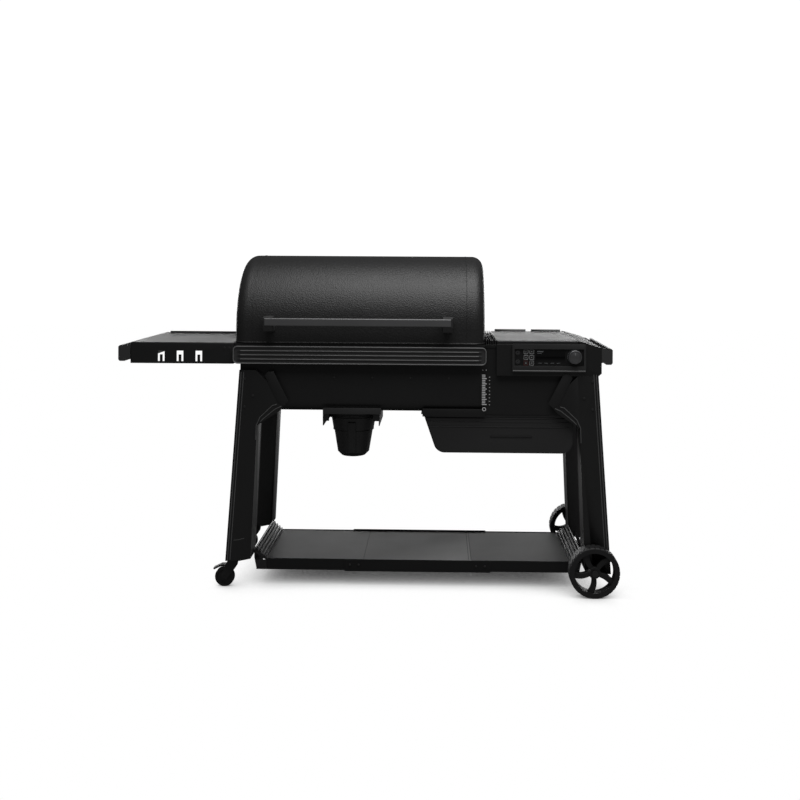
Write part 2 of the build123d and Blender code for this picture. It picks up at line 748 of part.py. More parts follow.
with BuildPart() as control_knob:
    rod(knob_radius, "Y", knob_front, knob_rear, (knob_x, knob_z))
    fillet(faces().sort_by(Axis.Y)[0].edges(), 2.0)
    rod(knob_radius - 5, "Y", knob_front - 1, knob_front + 1.2, (knob_x, knob_z), Mode.SUBTRACT)
    rod(knob_shaft_radius + running_fit, "Y", knob_rear - knob_bore_depth, knob_rear + 1, (knob_x, knob_z),
        Mode.SUBTRACT)
    with Locations(Plane(origin=(knob_x, knob_front, knob_z), x_dir=(1, 0, 0), z_dir=(0, -1, 0))):
        with PolarLocations(knob_radius, 24):
            Box(1.6, 1.6, 2 * (knob_depth - 3), mode=Mode.SUBTRACT)
save(control_knob, "control_knob")

# ==== legs ====
cart_rear = 2 * barrel_mid_y - cart_front


def leg_points(foot_z):
    """The leg's front plate: a splayed post with a gusset that reaches inward under the barrel."""
    drop = leg_foot_z - foot_z
    outer_slope = (leg_foot_outer - leg_top_outer) / (leg_top - leg_foot_z)
    inner_slope = (leg_foot_inner - leg_knee_inner) / (leg_knee_z - leg_foot_z)
    return ((leg_top_outer, leg_top), (leg_foot_outer + drop * outer_slope, foot_z),
            (caster_swivel_x + foot_flat, foot_z),
            (leg_foot_inner + (drop - foot_rise) * inner_slope, foot_z + foot_rise), (leg_knee_inner,
                                                                                      leg_knee_z),
            leg_tip_low, leg_tip, leg_brow, (leg_brow[0] - 14, leg_top))


gusset_depth = barrel_front - cart_front


def leg(name, right, rear):
    foot_z = wheel_leg_foot_z if right else leg_foot_z
    with BuildPart() as post:
        with BuildSketch(front_outline(cart_front)) as plate:
            with BuildLine():
                Polyline(*leg_points(foot_z), close=True)
            make_face()
        extrude(amount=-gusset_depth)
        with BuildSketch(front_outline(cart_front)):
            add(plate.sketch)
            # below and outside the gusset, the post is as deep as the leg
            with BuildLine():
                Polyline((leg_foot_outer - 60, foot_z - 20), (leg_knee_inner + 2, foot_z - 20),
                         (leg_knee_inner + 2, leg_knee_z), (leg_knee_inner - 20, leg_top + 20),
                         (leg_foot_outer - 60, leg_top + 20), close=True)
            make_face(mode=Mode.INTERSECT)
        extrude(amount=-leg_depth)
        with BuildSketch(front_outline(cart_front + leg_sheet)):
            with BuildLine():
                Polyline(*leg_points(foot_z), close=True)
            make_face()
            offset(amount=-leg_sheet, kind=Kind.INTERSECTION, mode=Mode.REPLACE)
        extrude(amount=-leg_depth, mode=Mode.SUBTRACT)
        # the post passes outside the barrel
        block(barrel_left, barrel_right, barrel_front, barrel_front + 200, barrel_bottom - 5, leg_top + 50,
              Mode.SUBTRACT)
        if right:
            # the mirrored post stops under the hopper and beside its base
            over = 2 * cart_mid_x
            block(over - hopper_right - 5, over - hopper_left, hopper_front - 1, hopper_front + 200,
                  hopper_floor, leg_top + 50, Mode.SUBTRACT)
            block(over - base_right, over - barrel_left, barrel_front, barrel_front + 200, base_bottom,
                  leg_top + 50,
                  Mode.SUBTRACT)
            rod(axle_radius + running_fit, "Y", cart_front - 1, cart_front + leg_depth + 1,
                (over - wheel_x, wheel_radius), Mode.SUBTRACT)
        else:
            rod(caster_stem_radius + running_fit, "Z", leg_foot_z - 1, leg_foot_z + leg_sheet + 1,
                (caster_swivel_x, cart_front + leg_depth / 2), Mode.SUBTRACT)
    piece = post.part
    if right:
        piece = piece.mirror(Plane(origin=(cart_mid_x, 0, 0), z_dir=(1, 0, 0)))
    if rear:
        piece = piece.mirror(Plane(origin=(0, barrel_mid_y, 0), z_dir=(0, 1, 0)))
    with BuildPart() as placed:
        add(piece)
    save(placed, name)


leg("leg_front_left", False, False)
leg("leg_rear_left", False, True)
leg("leg_front_right", True, False)
leg("leg_rear_right", True, True)

# ==== bottom shelf ====
deck_right = 2 * cart_mid_x - deck_left
deck_rear = deck_front + deck_depth


def deck_panel(name, x0, x1, outset=0.0, lip=deck_lip, overlap=0.0):
    """A shelf panel with lips turned down in front and behind, which may reach over the panels beside it."""
    front = deck_front - outset
    rear = deck_rear + outset
    with BuildPart() as panel:
        block(x0, x1, front, rear, deck_z - sheet, deck_z)
        for y in (front, rear - sheet):
            block(x0 - overlap, x1 + overlap, y, y + sheet, deck_z - lip, deck_z)
    save(panel, name)


deck_panel("bottom_shelf_left", deck_left, deck_seam_left - side_gap / 2)
deck_panel("bottom_shelf_middle", deck_seam_left + side_gap / 2, deck_seam_right - side_gap / 2,
           outset=sheet, lip=deck_lip + sleeve_drop, overlap=sleeve_overlap)
deck_panel("bottom_shelf_right", deck_seam_right + side_gap / 2, deck_right)


def shelf_end(name, right):
    """A ribbed tray wall that rises outward from the deck to the legs."""
    reach = leg_foot_inner + 1.5
    with BuildPart() as end:
        with BuildSketch(front_outline(deck_front)):
            step_x = (deck_left - reach - 6) / shelf_end_ribs
            step_z = shelf_end_rise / shelf_end_ribs
            with BuildLine():
                steps = []
                for number in range(shelf_end_ribs):
                    x = deck_left - side_gap - number * step_x
                    z = deck_z + (number + 1) * step_z
                    steps += [(x - 1, z), (x - step_x * 0.55, z), (x - step_x * 0.7, z - step_z * 0.9)]
                low = deck_z - deck_lip
                Polyline((deck_left - side_gap, deck_z - 4), *steps, (reach + 3, deck_z + shelf_end_rise),
                         (reach, deck_z + shelf_end_rise), (reach, leg_foot_z - 5), (reach + 9, low),
                         (deck_left - side_gap, low), close=True)
            make_face()
        extrude(amount=-deck_depth)
        with BuildSketch(front_outline(deck_front - 1)):
            with BuildLine():
                Polyline((deck_left - side_gap + 1, deck_z - 8), (reach + 4, deck_z + shelf_end_rise - 15),
                         (reach + 4, leg_foot_z - 5), (reach + 12, low - 1), (deck_left - side_gap + 1,
                                                                              low - 1), close=True)
            make_face()
        extrude(amount=-(deck_depth + 2), mode=Mode.SUBTRACT)
        block(deck_left - side_gap - 3, deck_left - side_gap, deck_front, deck_rear, low, deck_z - 2)
        block(reach + 8, deck_left - side_gap, deck_front, deck_front + sheet, low, deck_z - 6)
        block(reach + 8, deck_left - side_gap, deck_rear - sheet, deck_rear, low, deck_z - 6)
        if right:
            mirror(about=Plane(origin=(cart_mid_x, 0, 0), z_dir=(1, 0, 0)), mode=Mode.REPLACE)
    save(end, name)


shelf_end("shelf_end_left", False)
shelf_end("shelf_end_right", True)

# ==== wheels and axle ====
wheel_outer_y = cart_front - wheel_gap - wheel_width
wheel_rear_y = cart_rear + wheel_gap

with BuildPart() as wheel_axle:
    rod(axle_radius, "Y", wheel_outer_y - 3, wheel_rear_y + wheel_width + 3, (wheel_x, wheel_radius))
    for y0, y1 in ((wheel_outer_y - 7, wheel_outer_y - 1),
                   (wheel_rear_y + wheel_width + 1, wheel_rear_y + wheel_width + 7)):
        rod(axle_radius + 5, "Y", y0, y1, (wheel_x, wheel_radius))
save(wheel_axle, "wheel_axle")


def wheel(name, front_y):
    """A one-piece wheel with a grooved tread and curved spokes; front_y is its side nearer the front."""
    inner = wheel_hub_radius - 4
    outer = wheel_radius - wheel_rim + 3
    spoke_line = ThreePointArc((inner, 0), ((inner + outer) / 2, 7), (outer, 0))
    with BuildPart() as rolling:
        with BuildSketch(side_outline(wheel_x)) as section:
            with Locations((front_y + wheel_width / 2, wheel_radius + wheel_radius - wheel_rim / 2)):
                Rectangle(wheel_width, wheel_rim)
                fillet(vertices().sort_by(Axis.Z)[-2:], 5.0)
        revolve(axis=Axis((wheel_x, 0, wheel_radius), (0, 1, 0)))
        rod(wheel_hub_radius, "Y", front_y + 2, front_y + wheel_width, (wheel_x, wheel_radius))
        spoke_plane = Plane(origin=(wheel_x, front_y + 8, wheel_radius), x_dir=(1, 0, 0), z_dir=(0, -1, 0))
        with BuildSketch(spoke_plane):
            with PolarLocations(0, wheel_spokes, start_angle=43):
                SlotArc(spoke_line, spoke_width)
        extrude(amount=-(wheel_width - 16))
        with Locations(Plane(origin=(wheel_x, front_y + wheel_width / 2, wheel_radius), x_dir=(1, 0, 0),
                             z_dir=(0, -1, 0))):
            for side in (-1, 1):
                with PolarLocations(wheel_radius, 30, start_angle=6 * (side + 1) / 2):
                    with Locations((0, 0, side * wheel_width / 3.2)):
                        Box(5.0, 4.0, wheel_width / 2.6, mode=Mode.SUBTRACT)
        rod(axle_radius + running_fit, "Y", front_y - 1, front_y + wheel_width + 1,
            (wheel_x, wheel_radius), Mode.SUBTRACT)
    save(rolling, name)


wheel("wheel_front", wheel_outer_y)
wheel("wheel_rear", wheel_rear_y)

# ==== casters ====
caster_x = caster_swivel_x - caster_trail
fork_top = leg_foot_z - seat_gap
fork_inner = caster_width / 2 + 1.0
brake_pivot = (caster_x + 8, caster_radius * 2 + 5)


def caster(place, y):
    with BuildPart() as fork:
        rod(caster_stem_radius, "Z", fork_top - 3, leg_foot_z + 22, (caster_swivel_x, y))
        rod(19.0, "Z", fork_top - 14, fork_top, (caster_swivel_x, y))
        with BuildSketch(front_outline(y - fork_inner - fork_cheek)):
            with BuildLine():
                Polyline((caster_swivel_x + 18, fork_top - 10), (caster_swivel_x + 14, fork_top - 30),
                         (caster_x + 8, caster_radius - 9), (caster_x - 8, caster_radius - 9),
                         (caster_x - 10, caster_radius + 8), (caster_swivel_x - 24, fork_top - 22),
                         (caster_swivel_x - 18, fork_top - 10), close=True)
            make_face()
        extrude(amount=-2 * (fork_inner + fork_cheek))
        with BuildSketch(front_outline(y - fork_inner)):
            with BuildLine():
                Polyline((caster_swivel_x + 40, fork_top - 22), (caster_swivel_x + 40, 0),
                         (caster_x - 40, 0),
                         (caster_x - 40, fork_top - 22), close=True)
            make_face()
        extrude(amount=-2 * fork_inner, mode=Mode.SUBTRACT)
        reach = fork_inner + fork_cheek + 2
        rod(caster_pin_radius, "Y", y - reach, y + reach, (caster_x, caster_radius))
        rod(brake_pin + running_fit, "Y", y - reach, y + reach, brake_pivot, Mode.SUBTRACT)
    save(fork, f"caster_fork_{place}")

    with BuildPart() as roller:
        rod(caster_radius, "Y", y - caster_width / 2, y + caster_width / 2, (caster_x, caster_radius))
        fillet(edges().filter_by(GeomType.CIRCLE), 4.0)
        for side in (-1, 1):
            with Locations((caster_x, y + side * caster_width / 2, caster_radius)):
                with Locations(Rotation(90, 0, 0)):
                    Cylinder(caster_radius - 9, 6, mode=Mode.SUBTRACT)
        rod(9.0, "Y", y - caster_width / 2, y + caster_width / 2, (caster_x, caster_radius))
        rod(caster_pin_radius + running_fit, "Y", y - 30, y + 30, (caster_x, caster_radius), Mode.SUBTRACT)
    save(roller, f"caster_wheel_{place}")

    with BuildPart() as brake:
        with BuildSketch(front_outline(y - fork_inner + 0.6)):
            with BuildLine():
                Polyline((brake_pivot[0] + 6, brake_pivot[1] + 5), (brake_pivot[0] + 6, brake_pivot[1] - 3),
                         (brake_pivot[0] - 20, brake_pivot[1] - 2), (brake_pivot[0] - 46,
                                                                     brake_pivot[1] - 14),
                         (brake_pivot[0] - 49, brake_pivot[1] - 9), (brake_pivot[0] - 20,
                                                                     brake_pivot[1] + 5), close=True)
            make_face()
        extrude(amount=-2 * (fork_inner - 0.6))
        rod(brake_pin, "Y", y - fork_inner - fork_cheek, y + fork_inner + fork_cheek, brake_pivot)
    save(brake, f"caster_brake_{place}")


caster("front", cart_front + leg_depth / 2)
caster("rear", cart_rear - leg_depth / 2)

# ==== grease keg and its rails ====

with BuildPart() as grease_keg:
    with BuildSketch(Plane(origin=(keg_x, keg_y, 0), x_dir=(1, 0, 0), z_dir=(0, -1, 0))):
        step_z = keg_rim_z - (keg_rim_z - keg_bottom) / 3
        slope = (keg_top_radius - keg_bottom_radius) / (keg_rim_z - keg_bottom)
        step_radius = keg_top_radius - slope * (keg_rim_z - step_z)
        with BuildLine():
            Polyline((0, keg_bottom), (keg_bottom_radius - keg_round, keg_bottom),
                     (keg_bottom_radius, keg_bottom + keg_round),
                     (step_radius - 3, step_z - 2), (step_radius, step_z), (keg_top_radius, keg_rim_z),
                     (keg_rim_radius, keg_rim_z), (keg_rim_radius, keg_rim_z + keg_rim_thick),
                     (keg_top_radius - keg_wall, keg_rim_z + keg_rim_thick),
                     (step_radius - keg_wall, step_z), (step_radius - 3 - keg_wall, step_z - 2),
                     (keg_bottom_radius - keg_wall, keg_bottom + keg_round),
                     (keg_bottom_radius - keg_round, keg_bottom + keg_wall),
                     (0, keg_bottom + keg_wall), close=True)
        make_face()
    revolve(axis=Axis((keg_x, keg_y, 0), (0, 0, 1)))
save(grease_keg, "grease_keg")

with BuildPart() as keg_rails:
    x0 = keg_x - keg_rail_width / 2
    x1 = keg_x + keg_rail_width / 2
    y1 = keg_rail_front + keg_rail_length
    block(x0, x1, keg_rail_front, y1, barrel_bottom - 3, barrel_bottom)
    for outer, towards in ((x0, 1), (x1, -1)):
        inner_x = outer + towards * 3
        lip_x = keg_x - towards * (keg_top_radius + 2.5)
        a0, a1 = sorted((outer, inner_x))
        block(a0, a1, keg_rail_front, y1, keg_rail_bottom, barrel_bottom)
        b0, b1 = sorted((outer, lip_x))
        block(b0, b1, keg_rail_front, y1, keg_rim_z - seat_gap - 3, keg_rim_z - seat_gap)
    block(x0, x1, y1 - 3, y1, keg_rail_bottom, barrel_bottom)
    rod(drain_radius, "Z", barrel_bottom - 4, barrel_bottom + 1, (keg_x, keg_y), Mode.SUBTRACT)
save(keg_rails, "keg_rails")

# ==== storage bin ====
with BuildPart() as storage_bin:
    bin_rear = bin_front + bin_depth
    bin_top = base_bottom - seat_gap

    for inset, mode in ((0, Mode.ADD), (sheet, Mode.SUBTRACT)):
        with BuildSketch(front_outline(bin_front + inset)):
            with BuildLine():
                FilletPolyline((bin_left + inset, bin_top), (bin_left_low + inset, bin_bottom + inset),
                               (bin_right - inset, bin_bottom + inset), (bin_right - inset, bin_top),
                               radius=bin_corner - inset)
                Line((bin_right - inset, bin_top), (bin_left + inset, bin_top))
            make_face()
        extrude(amount=-(bin_depth - 2 * inset), mode=mode)
    block(bin_left - bin_rim, bin_left + 4, bin_front, bin_rear, bin_top - sheet, bin_top)
    block(bin_left, bin_right, bin_front - 3, bin_front + 1, bin_top - bin_rim, bin_top)
save(storage_bin, "storage_bin")

# ==== inside the barrel ====
with BuildPart() as fire_pot:
    pot_floor = barrel_bottom + sheet
    rod(fire_pot_radius, "Z", pot_floor, pot_floor + fire_pot_height, (fire_pot_x, barrel_mid_y))
    rod(fire_pot_radius - 3, "Z", pot_floor + 12, pot_floor + fire_pot_height + 1,
        (fire_pot_x, barrel_mid_y), Mode.SUBTRACT)
    rod(tube_outer, "X", fire_pot_x, fire_pot_x + 2 * fire_pot_radius, (barrel_mid_y, auger_z),
        Mode.SUBTRACT)
    rod(5.0, "Y", barrel_mid_y - 2 * fire_pot_radius, barrel_mid_y, (fire_pot_x, pot_floor + 24),
        Mode.SUBTRACT)
save(fire_pot, "fire_pot")

with BuildPart() as igniter_rod:
    rod(4.8, "Y", barrel_mid_y - fire_pot_radius - 60, barrel_mid_y - fire_pot_radius + 18,
        (fire_pot_x, pot_floor + 24))
    block(fire_pot_x - 9, fire_pot_x + 9, barrel_mid_y - fire_pot_radius - 66,
          barrel_mid_y - fire_pot_radius - 56,
          pot_floor, pot_floor + 34)
save(igniter_rod, "igniter_rod")

tube_start = fire_pot_x + fire_pot_radius - 8
with BuildPart() as auger_tube:
    rod(tube_outer - side_gap / 2, "X", tube_start, motor_left, (barrel_mid_y, auger_z))
    rod(tube_inner, "X", tube_start - 1, motor_left - 6, (barrel_mid_y, auger_z), Mode.SUBTRACT)
    rod(auger_shaft + running_fit, "X", motor_left - 7, motor_left + 1, (barrel_mid_y, auger_z),
        Mode.SUBTRACT)
    inlet = (feed_x - feed_length / 2, feed_x + feed_length / 2, barrel_mid_y - feed_width / 2,
             barrel_mid_y + feed_width / 2)
    block(inlet[0] - 3, inlet[1] + 3, inlet[2] - 3, inlet[3] + 3, auger_z + 20, feed_z)
    rod(tube_inner, "X", feed_x - feed_length, feed_x + feed_length, (barrel_mid_y, auger_z), Mode.SUBTRACT)
    block(inlet[0] + sheet, inlet[1] - sheet, inlet[2] + sheet, inlet[3] - sheet, auger_z, feed_z + 1,
          Mode.SUBTRACT)
    block(motor_left - 40, motor_left - 20, barrel_mid_y - 30, barrel_mid_y + 30, base_bottom + sheet,
          auger_z - 26)
save(auger_tube, "auger_tube")

with BuildPart() as auger_screw:
    rod(auger_shaft, "X", tube_start - 6, motor_left + 18, (barrel_mid_y, auger_z))
    flight_count = int((motor_left - motor_shaft_wall - tube_start) / auger_pitch)
    for number in range(2 * flight_count):
        x = tube_start + 4 + number * auger_pitch / 2
        tilt = 14 if number % 2 else -14
        with Locations(Location((x, barrel_mid_y, auger_z), (0, 90 + tilt, 0))):
            Cylinder(auger_radius - 1.5, 3.0)
save(auger_screw, "auger_screw")

with BuildPart() as auger_motor:
    block(motor_left + side_gap, motor_right - 30, barrel_mid_y - 38, barrel_mid_y + 38,
          base_bottom + sheet, auger_z + 36)
    rod(26.0, "X", motor_right - 30, motor_right, (barrel_mid_y, auger_z))
    rod(auger_shaft + running_fit, "X", motor_left - 1, motor_left + 24, (barrel_mid_y, auger_z),
        Mode.SUBTRACT)
save(auger_motor, "auger_motor")

fan_z = base_bottom + sheet + fan_half
with BuildPart() as fan_housing:
    block(fan_x - fan_half, fan_x + fan_half, fan_y - 26, fan_y + 26, base_bottom + sheet, fan_z + fan_half)
    rod(fan_radius + 4, "Y", fan_y - 22, fan_y + 22, (fan_x, fan_z), Mode.SUBTRACT)
    rod(30.0, "Y", fan_y + 20, fan_y + 30, (fan_x, fan_z), Mode.SUBTRACT)
    block(fan_x - 70, fan_x, fan_y - 22, fan_y + 22, fan_z - 50, fan_z - 20, Mode.SUBTRACT)
    rod(3.0, "Y", fan_y - 24, fan_y + 16, (fan_x, fan_z))
save(fan_housing, "fan_housing")

with BuildPart() as fan_impeller:
    rod(9.0, "Y", fan_y - 18, fan_y + 15, (fan_x, fan_z))
    rod(fan_radius, "Y", fan_y - 18, fan_y - 16, (fan_x, fan_z))
    with Locations(Plane(origin=(fan_x, fan_y, fan_z), x_dir=(1, 0, 0), z_dir=(0, -1, 0))):
        with PolarLocations(fan_radius - 17, 12):
            Box(32.0, 1.6, 32.0)
    rod(3.0 + running_fit, "Y", fan_y - 20, fan_y + 17, (fan_x, fan_z), Mode.SUBTRACT)
save(fan_impeller, "fan_impeller")

panel_left = barrel_left + sheet + side_gap
panel_right = barrel_right - sheet - side_gap
panel_front = inner_front + side_gap
panel_rear = inner_rear - side_gap

with BuildPart() as heat_baffle:
    block(panel_left, panel_right, panel_front, panel_rear, baffle_z, baffle_z + 2)
    with Locations((0, barrel_mid_y, baffle_z)):
        with GridLocations(130, 360, 6, 2):
            Box(90, 14, 10, mode=Mode.SUBTRACT)
save(heat_baffle, "heat_baffle")

with BuildPart() as drain_pan:
    pan_floor = pan_z + sheet
    block(panel_left, panel_right, panel_front, panel_rear, pan_z, pan_floor)
    # the four sides are plates of their own, tacked to the floor and to each other across a hairline seam
    foot = pan_floor + pan_seam
    for y in (panel_front, panel_rear - sheet):
        block(panel_left, panel_right, y, y + sheet, foot, pan_z + pan_depth)
    for x in (panel_left, panel_right - sheet):
        block(x, x + sheet, panel_front + sheet + pan_seam, panel_rear - sheet - pan_seam, foot, pan_z + pan_depth)
    rod(14.0, "Z", pan_z - 1, pan_z + 3, (keg_x, keg_y), Mode.SUBTRACT)
save(drain_pan, "drain_pan")


def grate(name, x0, x1):
    with BuildPart() as grid:
        with BuildSketch(Plane.XY.offset(grate_z)):
            with Locations(((x0 + x1) / 2, (panel_front + panel_rear) / 2)):
                Rectangle(x1 - x0, panel_rear - panel_front)
                Rectangle(x1 - x0 - 2 * grate_bar, panel_rear - panel_front - 2 * grate_bar,
                          mode=Mode.SUBTRACT)
                bars = int((x1 - x0) / grate_pitch) - 1
                with GridLocations(grate_pitch, 1, bars, 1):
                    Rectangle(grate_bar, panel_rear - panel_front)
                with GridLocations(1, 150, 1, 3):
                    Rectangle(x1 - x0, grate_bar + 2)
        extrude(amount=grate_thick)
    save(grid, name)


grate_split = (barrel_left + barrel_right) / 2
grate("grate_left", panel_left, grate_split - side_gap)
grate("grate_right", grate_split + side_gap, panel_right)

with BuildPart() as temperature_probe:
    rod(3.0, "X", barrel_left + sheet, barrel_left + sheet + probe_length, (inner_rear - 60, pan_z + 34))
    rod(8.0, "X", barrel_left + sheet, barrel_left + sheet + 6, (inner_rear - 60, pan_z + 34))
save(temperature_probe, "temperature_probe")

# ==== rear exhaust and power inlet ====
with BuildPart() as exhaust_duct:
    block(duct_left, duct_right, barrel_rear, overall_rear, duct_bottom, duct_top)
    fillet(edges().filter_by(Axis.X).group_by(Axis.Z)[-1].sort_by(Axis.Y)[-1], 20.0)
    block(duct_left + sheet, duct_right - sheet, barrel_rear + sheet, overall_rear - sheet,
          duct_bottom - 1, duct_top - 20, Mode.SUBTRACT)
    block(duct_left + sheet, duct_right - sheet, barrel_rear + sheet, overall_rear - 20,
          duct_bottom, duct_top - sheet, Mode.SUBTRACT)
    block(duct_left + duct_slot_inset, duct_right - duct_slot_inset, barrel_rear - 1,
          barrel_rear + 2 * sheet,
          duct_slot_low, duct_slot_low + duct_slot_height, Mode.SUBTRACT)
save(exhaust_duct, "exhaust_duct")

with BuildPart() as power_inlet:
    x0 = inlet_x - inlet_width / 2 + running_fit
    x1 = inlet_x + inlet_width / 2 - running_fit
    z0 = inlet_z - inlet_height / 2 + running_fit
    z1 = inlet_z + inlet_height / 2 - running_fit
    block(x0, x1, hopper_rear - 24, hopper_rear + 1, z0, z1)
    block(x0 - 6, x1 + 6, hopper_rear, hopper_rear + 3, z0 - 5, z1 + 5)
    block(x0 + 3, x1 - 3, hopper_rear - 14, hopper_rear + 4, z0 + 3, z1 - 3, Mode.SUBTRACT)
    for dx in (-7, 0, 7):
        block(inlet_x + dx - 1, inlet_x + dx + 1, hopper_rear - 15, hopper_rear - 2, inlet_z - 2.5,
              inlet_z + 2.5)
save(power_inlet, "power_inlet")

# ==== screws ====
with BuildPart() as pan_head_screws:
    for x in barrel_screws:
        rod(screw_radius, "Y", barrel_front - screw_head, barrel_front, (x, barrel_screw_z))
    for x in (shelf_right - 14, shelf_right - 32):
        rod(screw_radius, "Y", shelf_front - screw_head, shelf_front, (x, shelf_top - 18))
    for side in (1, -1):
        for x, z in leg_screws:
            place = x if side == 1 else 2 * cart_mid_x - x
            rod(screw_radius + 1, "Y", cart_front - screw_head, cart_front, (place, z))
            rod(screw_radius + 1, "Y", cart_rear, cart_rear + screw_head, (place, z))
    for x in (bin_right - 46, bin_right - 60):
        rod(screw_radius, "Y", bin_front - 3 - screw_head, bin_front - 3, (x, bin_top - 4))
    for x in (deck_seam_left - 50, deck_seam_left - 18, deck_seam_right + 18, deck_seam_right + 50):
        rod(screw_radius, "Y", deck_front - sheet - screw_head, deck_front - sheet, (x, deck_z - 20))
save(pan_head_screws, "pan_head_screws")
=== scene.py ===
"""Looks of a pellet smoker grill, built round its fixed frame. Metres; +X right, +Y back, +Z up."""
import json
import math

import bmesh
import bpy
from mathutils import Matrix, Vector
from mathutils.bvhtree import BVHTree


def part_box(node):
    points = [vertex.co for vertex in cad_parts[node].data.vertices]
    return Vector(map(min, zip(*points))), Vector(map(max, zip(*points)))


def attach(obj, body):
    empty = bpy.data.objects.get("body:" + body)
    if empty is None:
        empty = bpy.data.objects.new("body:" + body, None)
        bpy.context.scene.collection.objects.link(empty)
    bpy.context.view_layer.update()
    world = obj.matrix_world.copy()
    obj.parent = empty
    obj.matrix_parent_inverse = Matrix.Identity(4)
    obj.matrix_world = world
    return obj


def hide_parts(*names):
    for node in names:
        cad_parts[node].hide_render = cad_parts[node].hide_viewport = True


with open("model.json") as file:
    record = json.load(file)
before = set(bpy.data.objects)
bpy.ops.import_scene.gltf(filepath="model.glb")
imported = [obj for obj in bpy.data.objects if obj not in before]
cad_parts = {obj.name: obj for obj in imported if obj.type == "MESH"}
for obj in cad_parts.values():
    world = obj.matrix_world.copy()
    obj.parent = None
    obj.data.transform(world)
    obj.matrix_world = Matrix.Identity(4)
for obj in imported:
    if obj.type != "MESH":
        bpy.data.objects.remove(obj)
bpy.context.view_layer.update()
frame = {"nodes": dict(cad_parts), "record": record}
nodes = frame["nodes"]
body_of = {node: body for body, members in frame["record"]["behaviour"]["bodies"].items() for node in members}
slot_of = {part["node"]: part["material_slot"] for part in frame["record"]["subparts"]}

MM = 0.001


# ---- finishes ----


class Value:
    """A number that varies over a surface. Arithmetic on it adds Math nodes to its finish."""

    def __init__(self, finish, socket):
        self.finish = finish
        self.socket = socket

    def maths(self, operation, *others):
        sockets = dict(enumerate((self, *others)))
        return self.finish.add("ShaderNodeMath", {"operation": operation}, sockets)

    def __add__(self, other):
        return self.maths("ADD", other)

    __radd__ = __add__

    def __mul__(self, other):
        return self.maths("MULTIPLY", other)

    __rmul__ = __mul__

    def __sub__(self, other):
        return self.maths("SUBTRACT", other)

    def __rsub__(self, other):
        return self.finish.add("ShaderNodeMath", {"operation": "SUBTRACT"}, {0: other, 1: self})

    def over(self, edge):
        """1 where the value is over the edge, else 0."""
        return self.maths("GREATER_THAN", edge)

    def clipped(self):
        """The value held between 0 and 1."""
        settings = {"operation": "MULTIPLY", "use_clamp": True}
        return self.finish.add("ShaderNodeMath", settings, {0: self, 1: 1.0})


MIX_LOW, MIX_HIGH, MIX_RESULT = 6, 7, 2  # the Mix node's sockets for colours


class Finish:
    """A material in the making. It has one Principled shader, and add() gives it any other node."""

    def __init__(self, name, colour, roughness, metallic=0.0, specular=0.5, coat=0.0, coat_roughness=0.1):
        self.material = bpy.data.materials.new(name)
        self.material.use_nodes = True
        self.tree = self.material.node_tree
        self.shader = self.tree.nodes["Principled BSDF"]
        self.material.diffuse_color = (*colour, 1.0)
        settings = {"Base Color": (*colour, 1.0), "Roughness": roughness, "Metallic": metallic,
                    "Specular IOR Level": specular, "Coat Weight": coat, "Coat Roughness": coat_roughness}
        for socket, value in settings.items():
            self.shader.inputs[socket].default_value = value
        self.place = self.add("ShaderNodeTexCoord", output="Object")

    def add(self, kind, settings=None, sockets=None, output=0):
        """Adds a node, sets it up, feeds its sockets with numbers or links, and gives one of its outputs."""
        node = self.tree.nodes.new(kind)
        for name, value in (settings or {}).items():
            setattr(node, name, value)
        self.feed(node, sockets or {})
        return Value(self, node.outputs[output])

    def feed(self, node, sockets):
        for name, value in sockets.items():
            if isinstance(value, Value):
                self.tree.links.new(value.socket, node.inputs[name])
            else:
                node.inputs[name].default_value = value

    def noise(self, scale, detail=2.0, stretch=(1.0, 1.0, 1.0), roughness=0.5):
        """Noise from 0 to 1 with about scale bumps in a metre."""
        place = self.add("ShaderNodeMapping", {}, {"Vector": self.place, "Scale": stretch})
        sockets = {"Vector": place, "Scale": scale, "Detail": detail, "Roughness": roughness}
        return self.add("ShaderNodeTexNoise", {}, sockets)

    def grains(self, scale):
        """Distance to the nearest of many scattered grains."""
        return self.add("ShaderNodeTexVoronoi", {}, {"Vector": self.place, "Scale": scale})

    def blend(self, low, high, share):
        """A mix of two colours: low where the share is 0, high where it is 1."""
        sockets = {"Factor": share, MIX_LOW: (*low, 1.0), MIX_HIGH: (*high, 1.0)}
        return self.add("ShaderNodeMix", {"data_type": "RGBA"}, sockets, output=MIX_RESULT)

    def colour(self, value):
        self.feed(self.shader, {"Base Color": value})

    def roughness(self, value):
        self.feed(self.shader, {"Roughness": value})

    def bump(self, height, depth, strength=1.0):
        """Raises the surface by up to depth metres where height is 1."""
        raised = self.add("ShaderNodeBump", {}, {"Height": height, "Distance": depth, "Strength": strength})
        self.feed(self.shader, {"Normal": raised})


def powder_coat(name, colour, roughness, grain=900.0, depth=0.00012, lighter=1.35, specular=0.5):
    """Baked paint: an orange-peel grain, and a little unevenness in colour and gloss."""
    finish = Finish(name, colour, roughness, specular=specular)
    peel = finish.noise(grain, detail=3.0)
    cloud = finish.noise(7.0, detail=4.0)
    finish.colour(finish.blend(colour, tuple(lighter * part for part in colour), cloud * 0.6 + peel * 0.4))
    finish.roughness(cloud * 0.12 + peel * 0.08 + (roughness - 0.1))
    finish.bump(peel, depth)
    return finish.material


def textured_coat(name, colour, roughness):
    """The lid's coarser hammered paint: small pits between rounded grains."""
    finish = Finish(name, colour, roughness)
    grain = finish.grains(240.0)
    fine = finish.noise(900.0, detail=2.0)
    cloud = finish.noise(5.0, detail=4.0)
    height = grain * 0.8 + fine * 0.3
    finish.colour(finish.blend(colour, tuple(1.6 * part for part in colour), (height * 0.8).clipped()))
    finish.roughness(cloud * 0.12 + grain * 0.16 + (roughness - 0.12))
    finish.bump(height, 0.0009)
    return finish.material


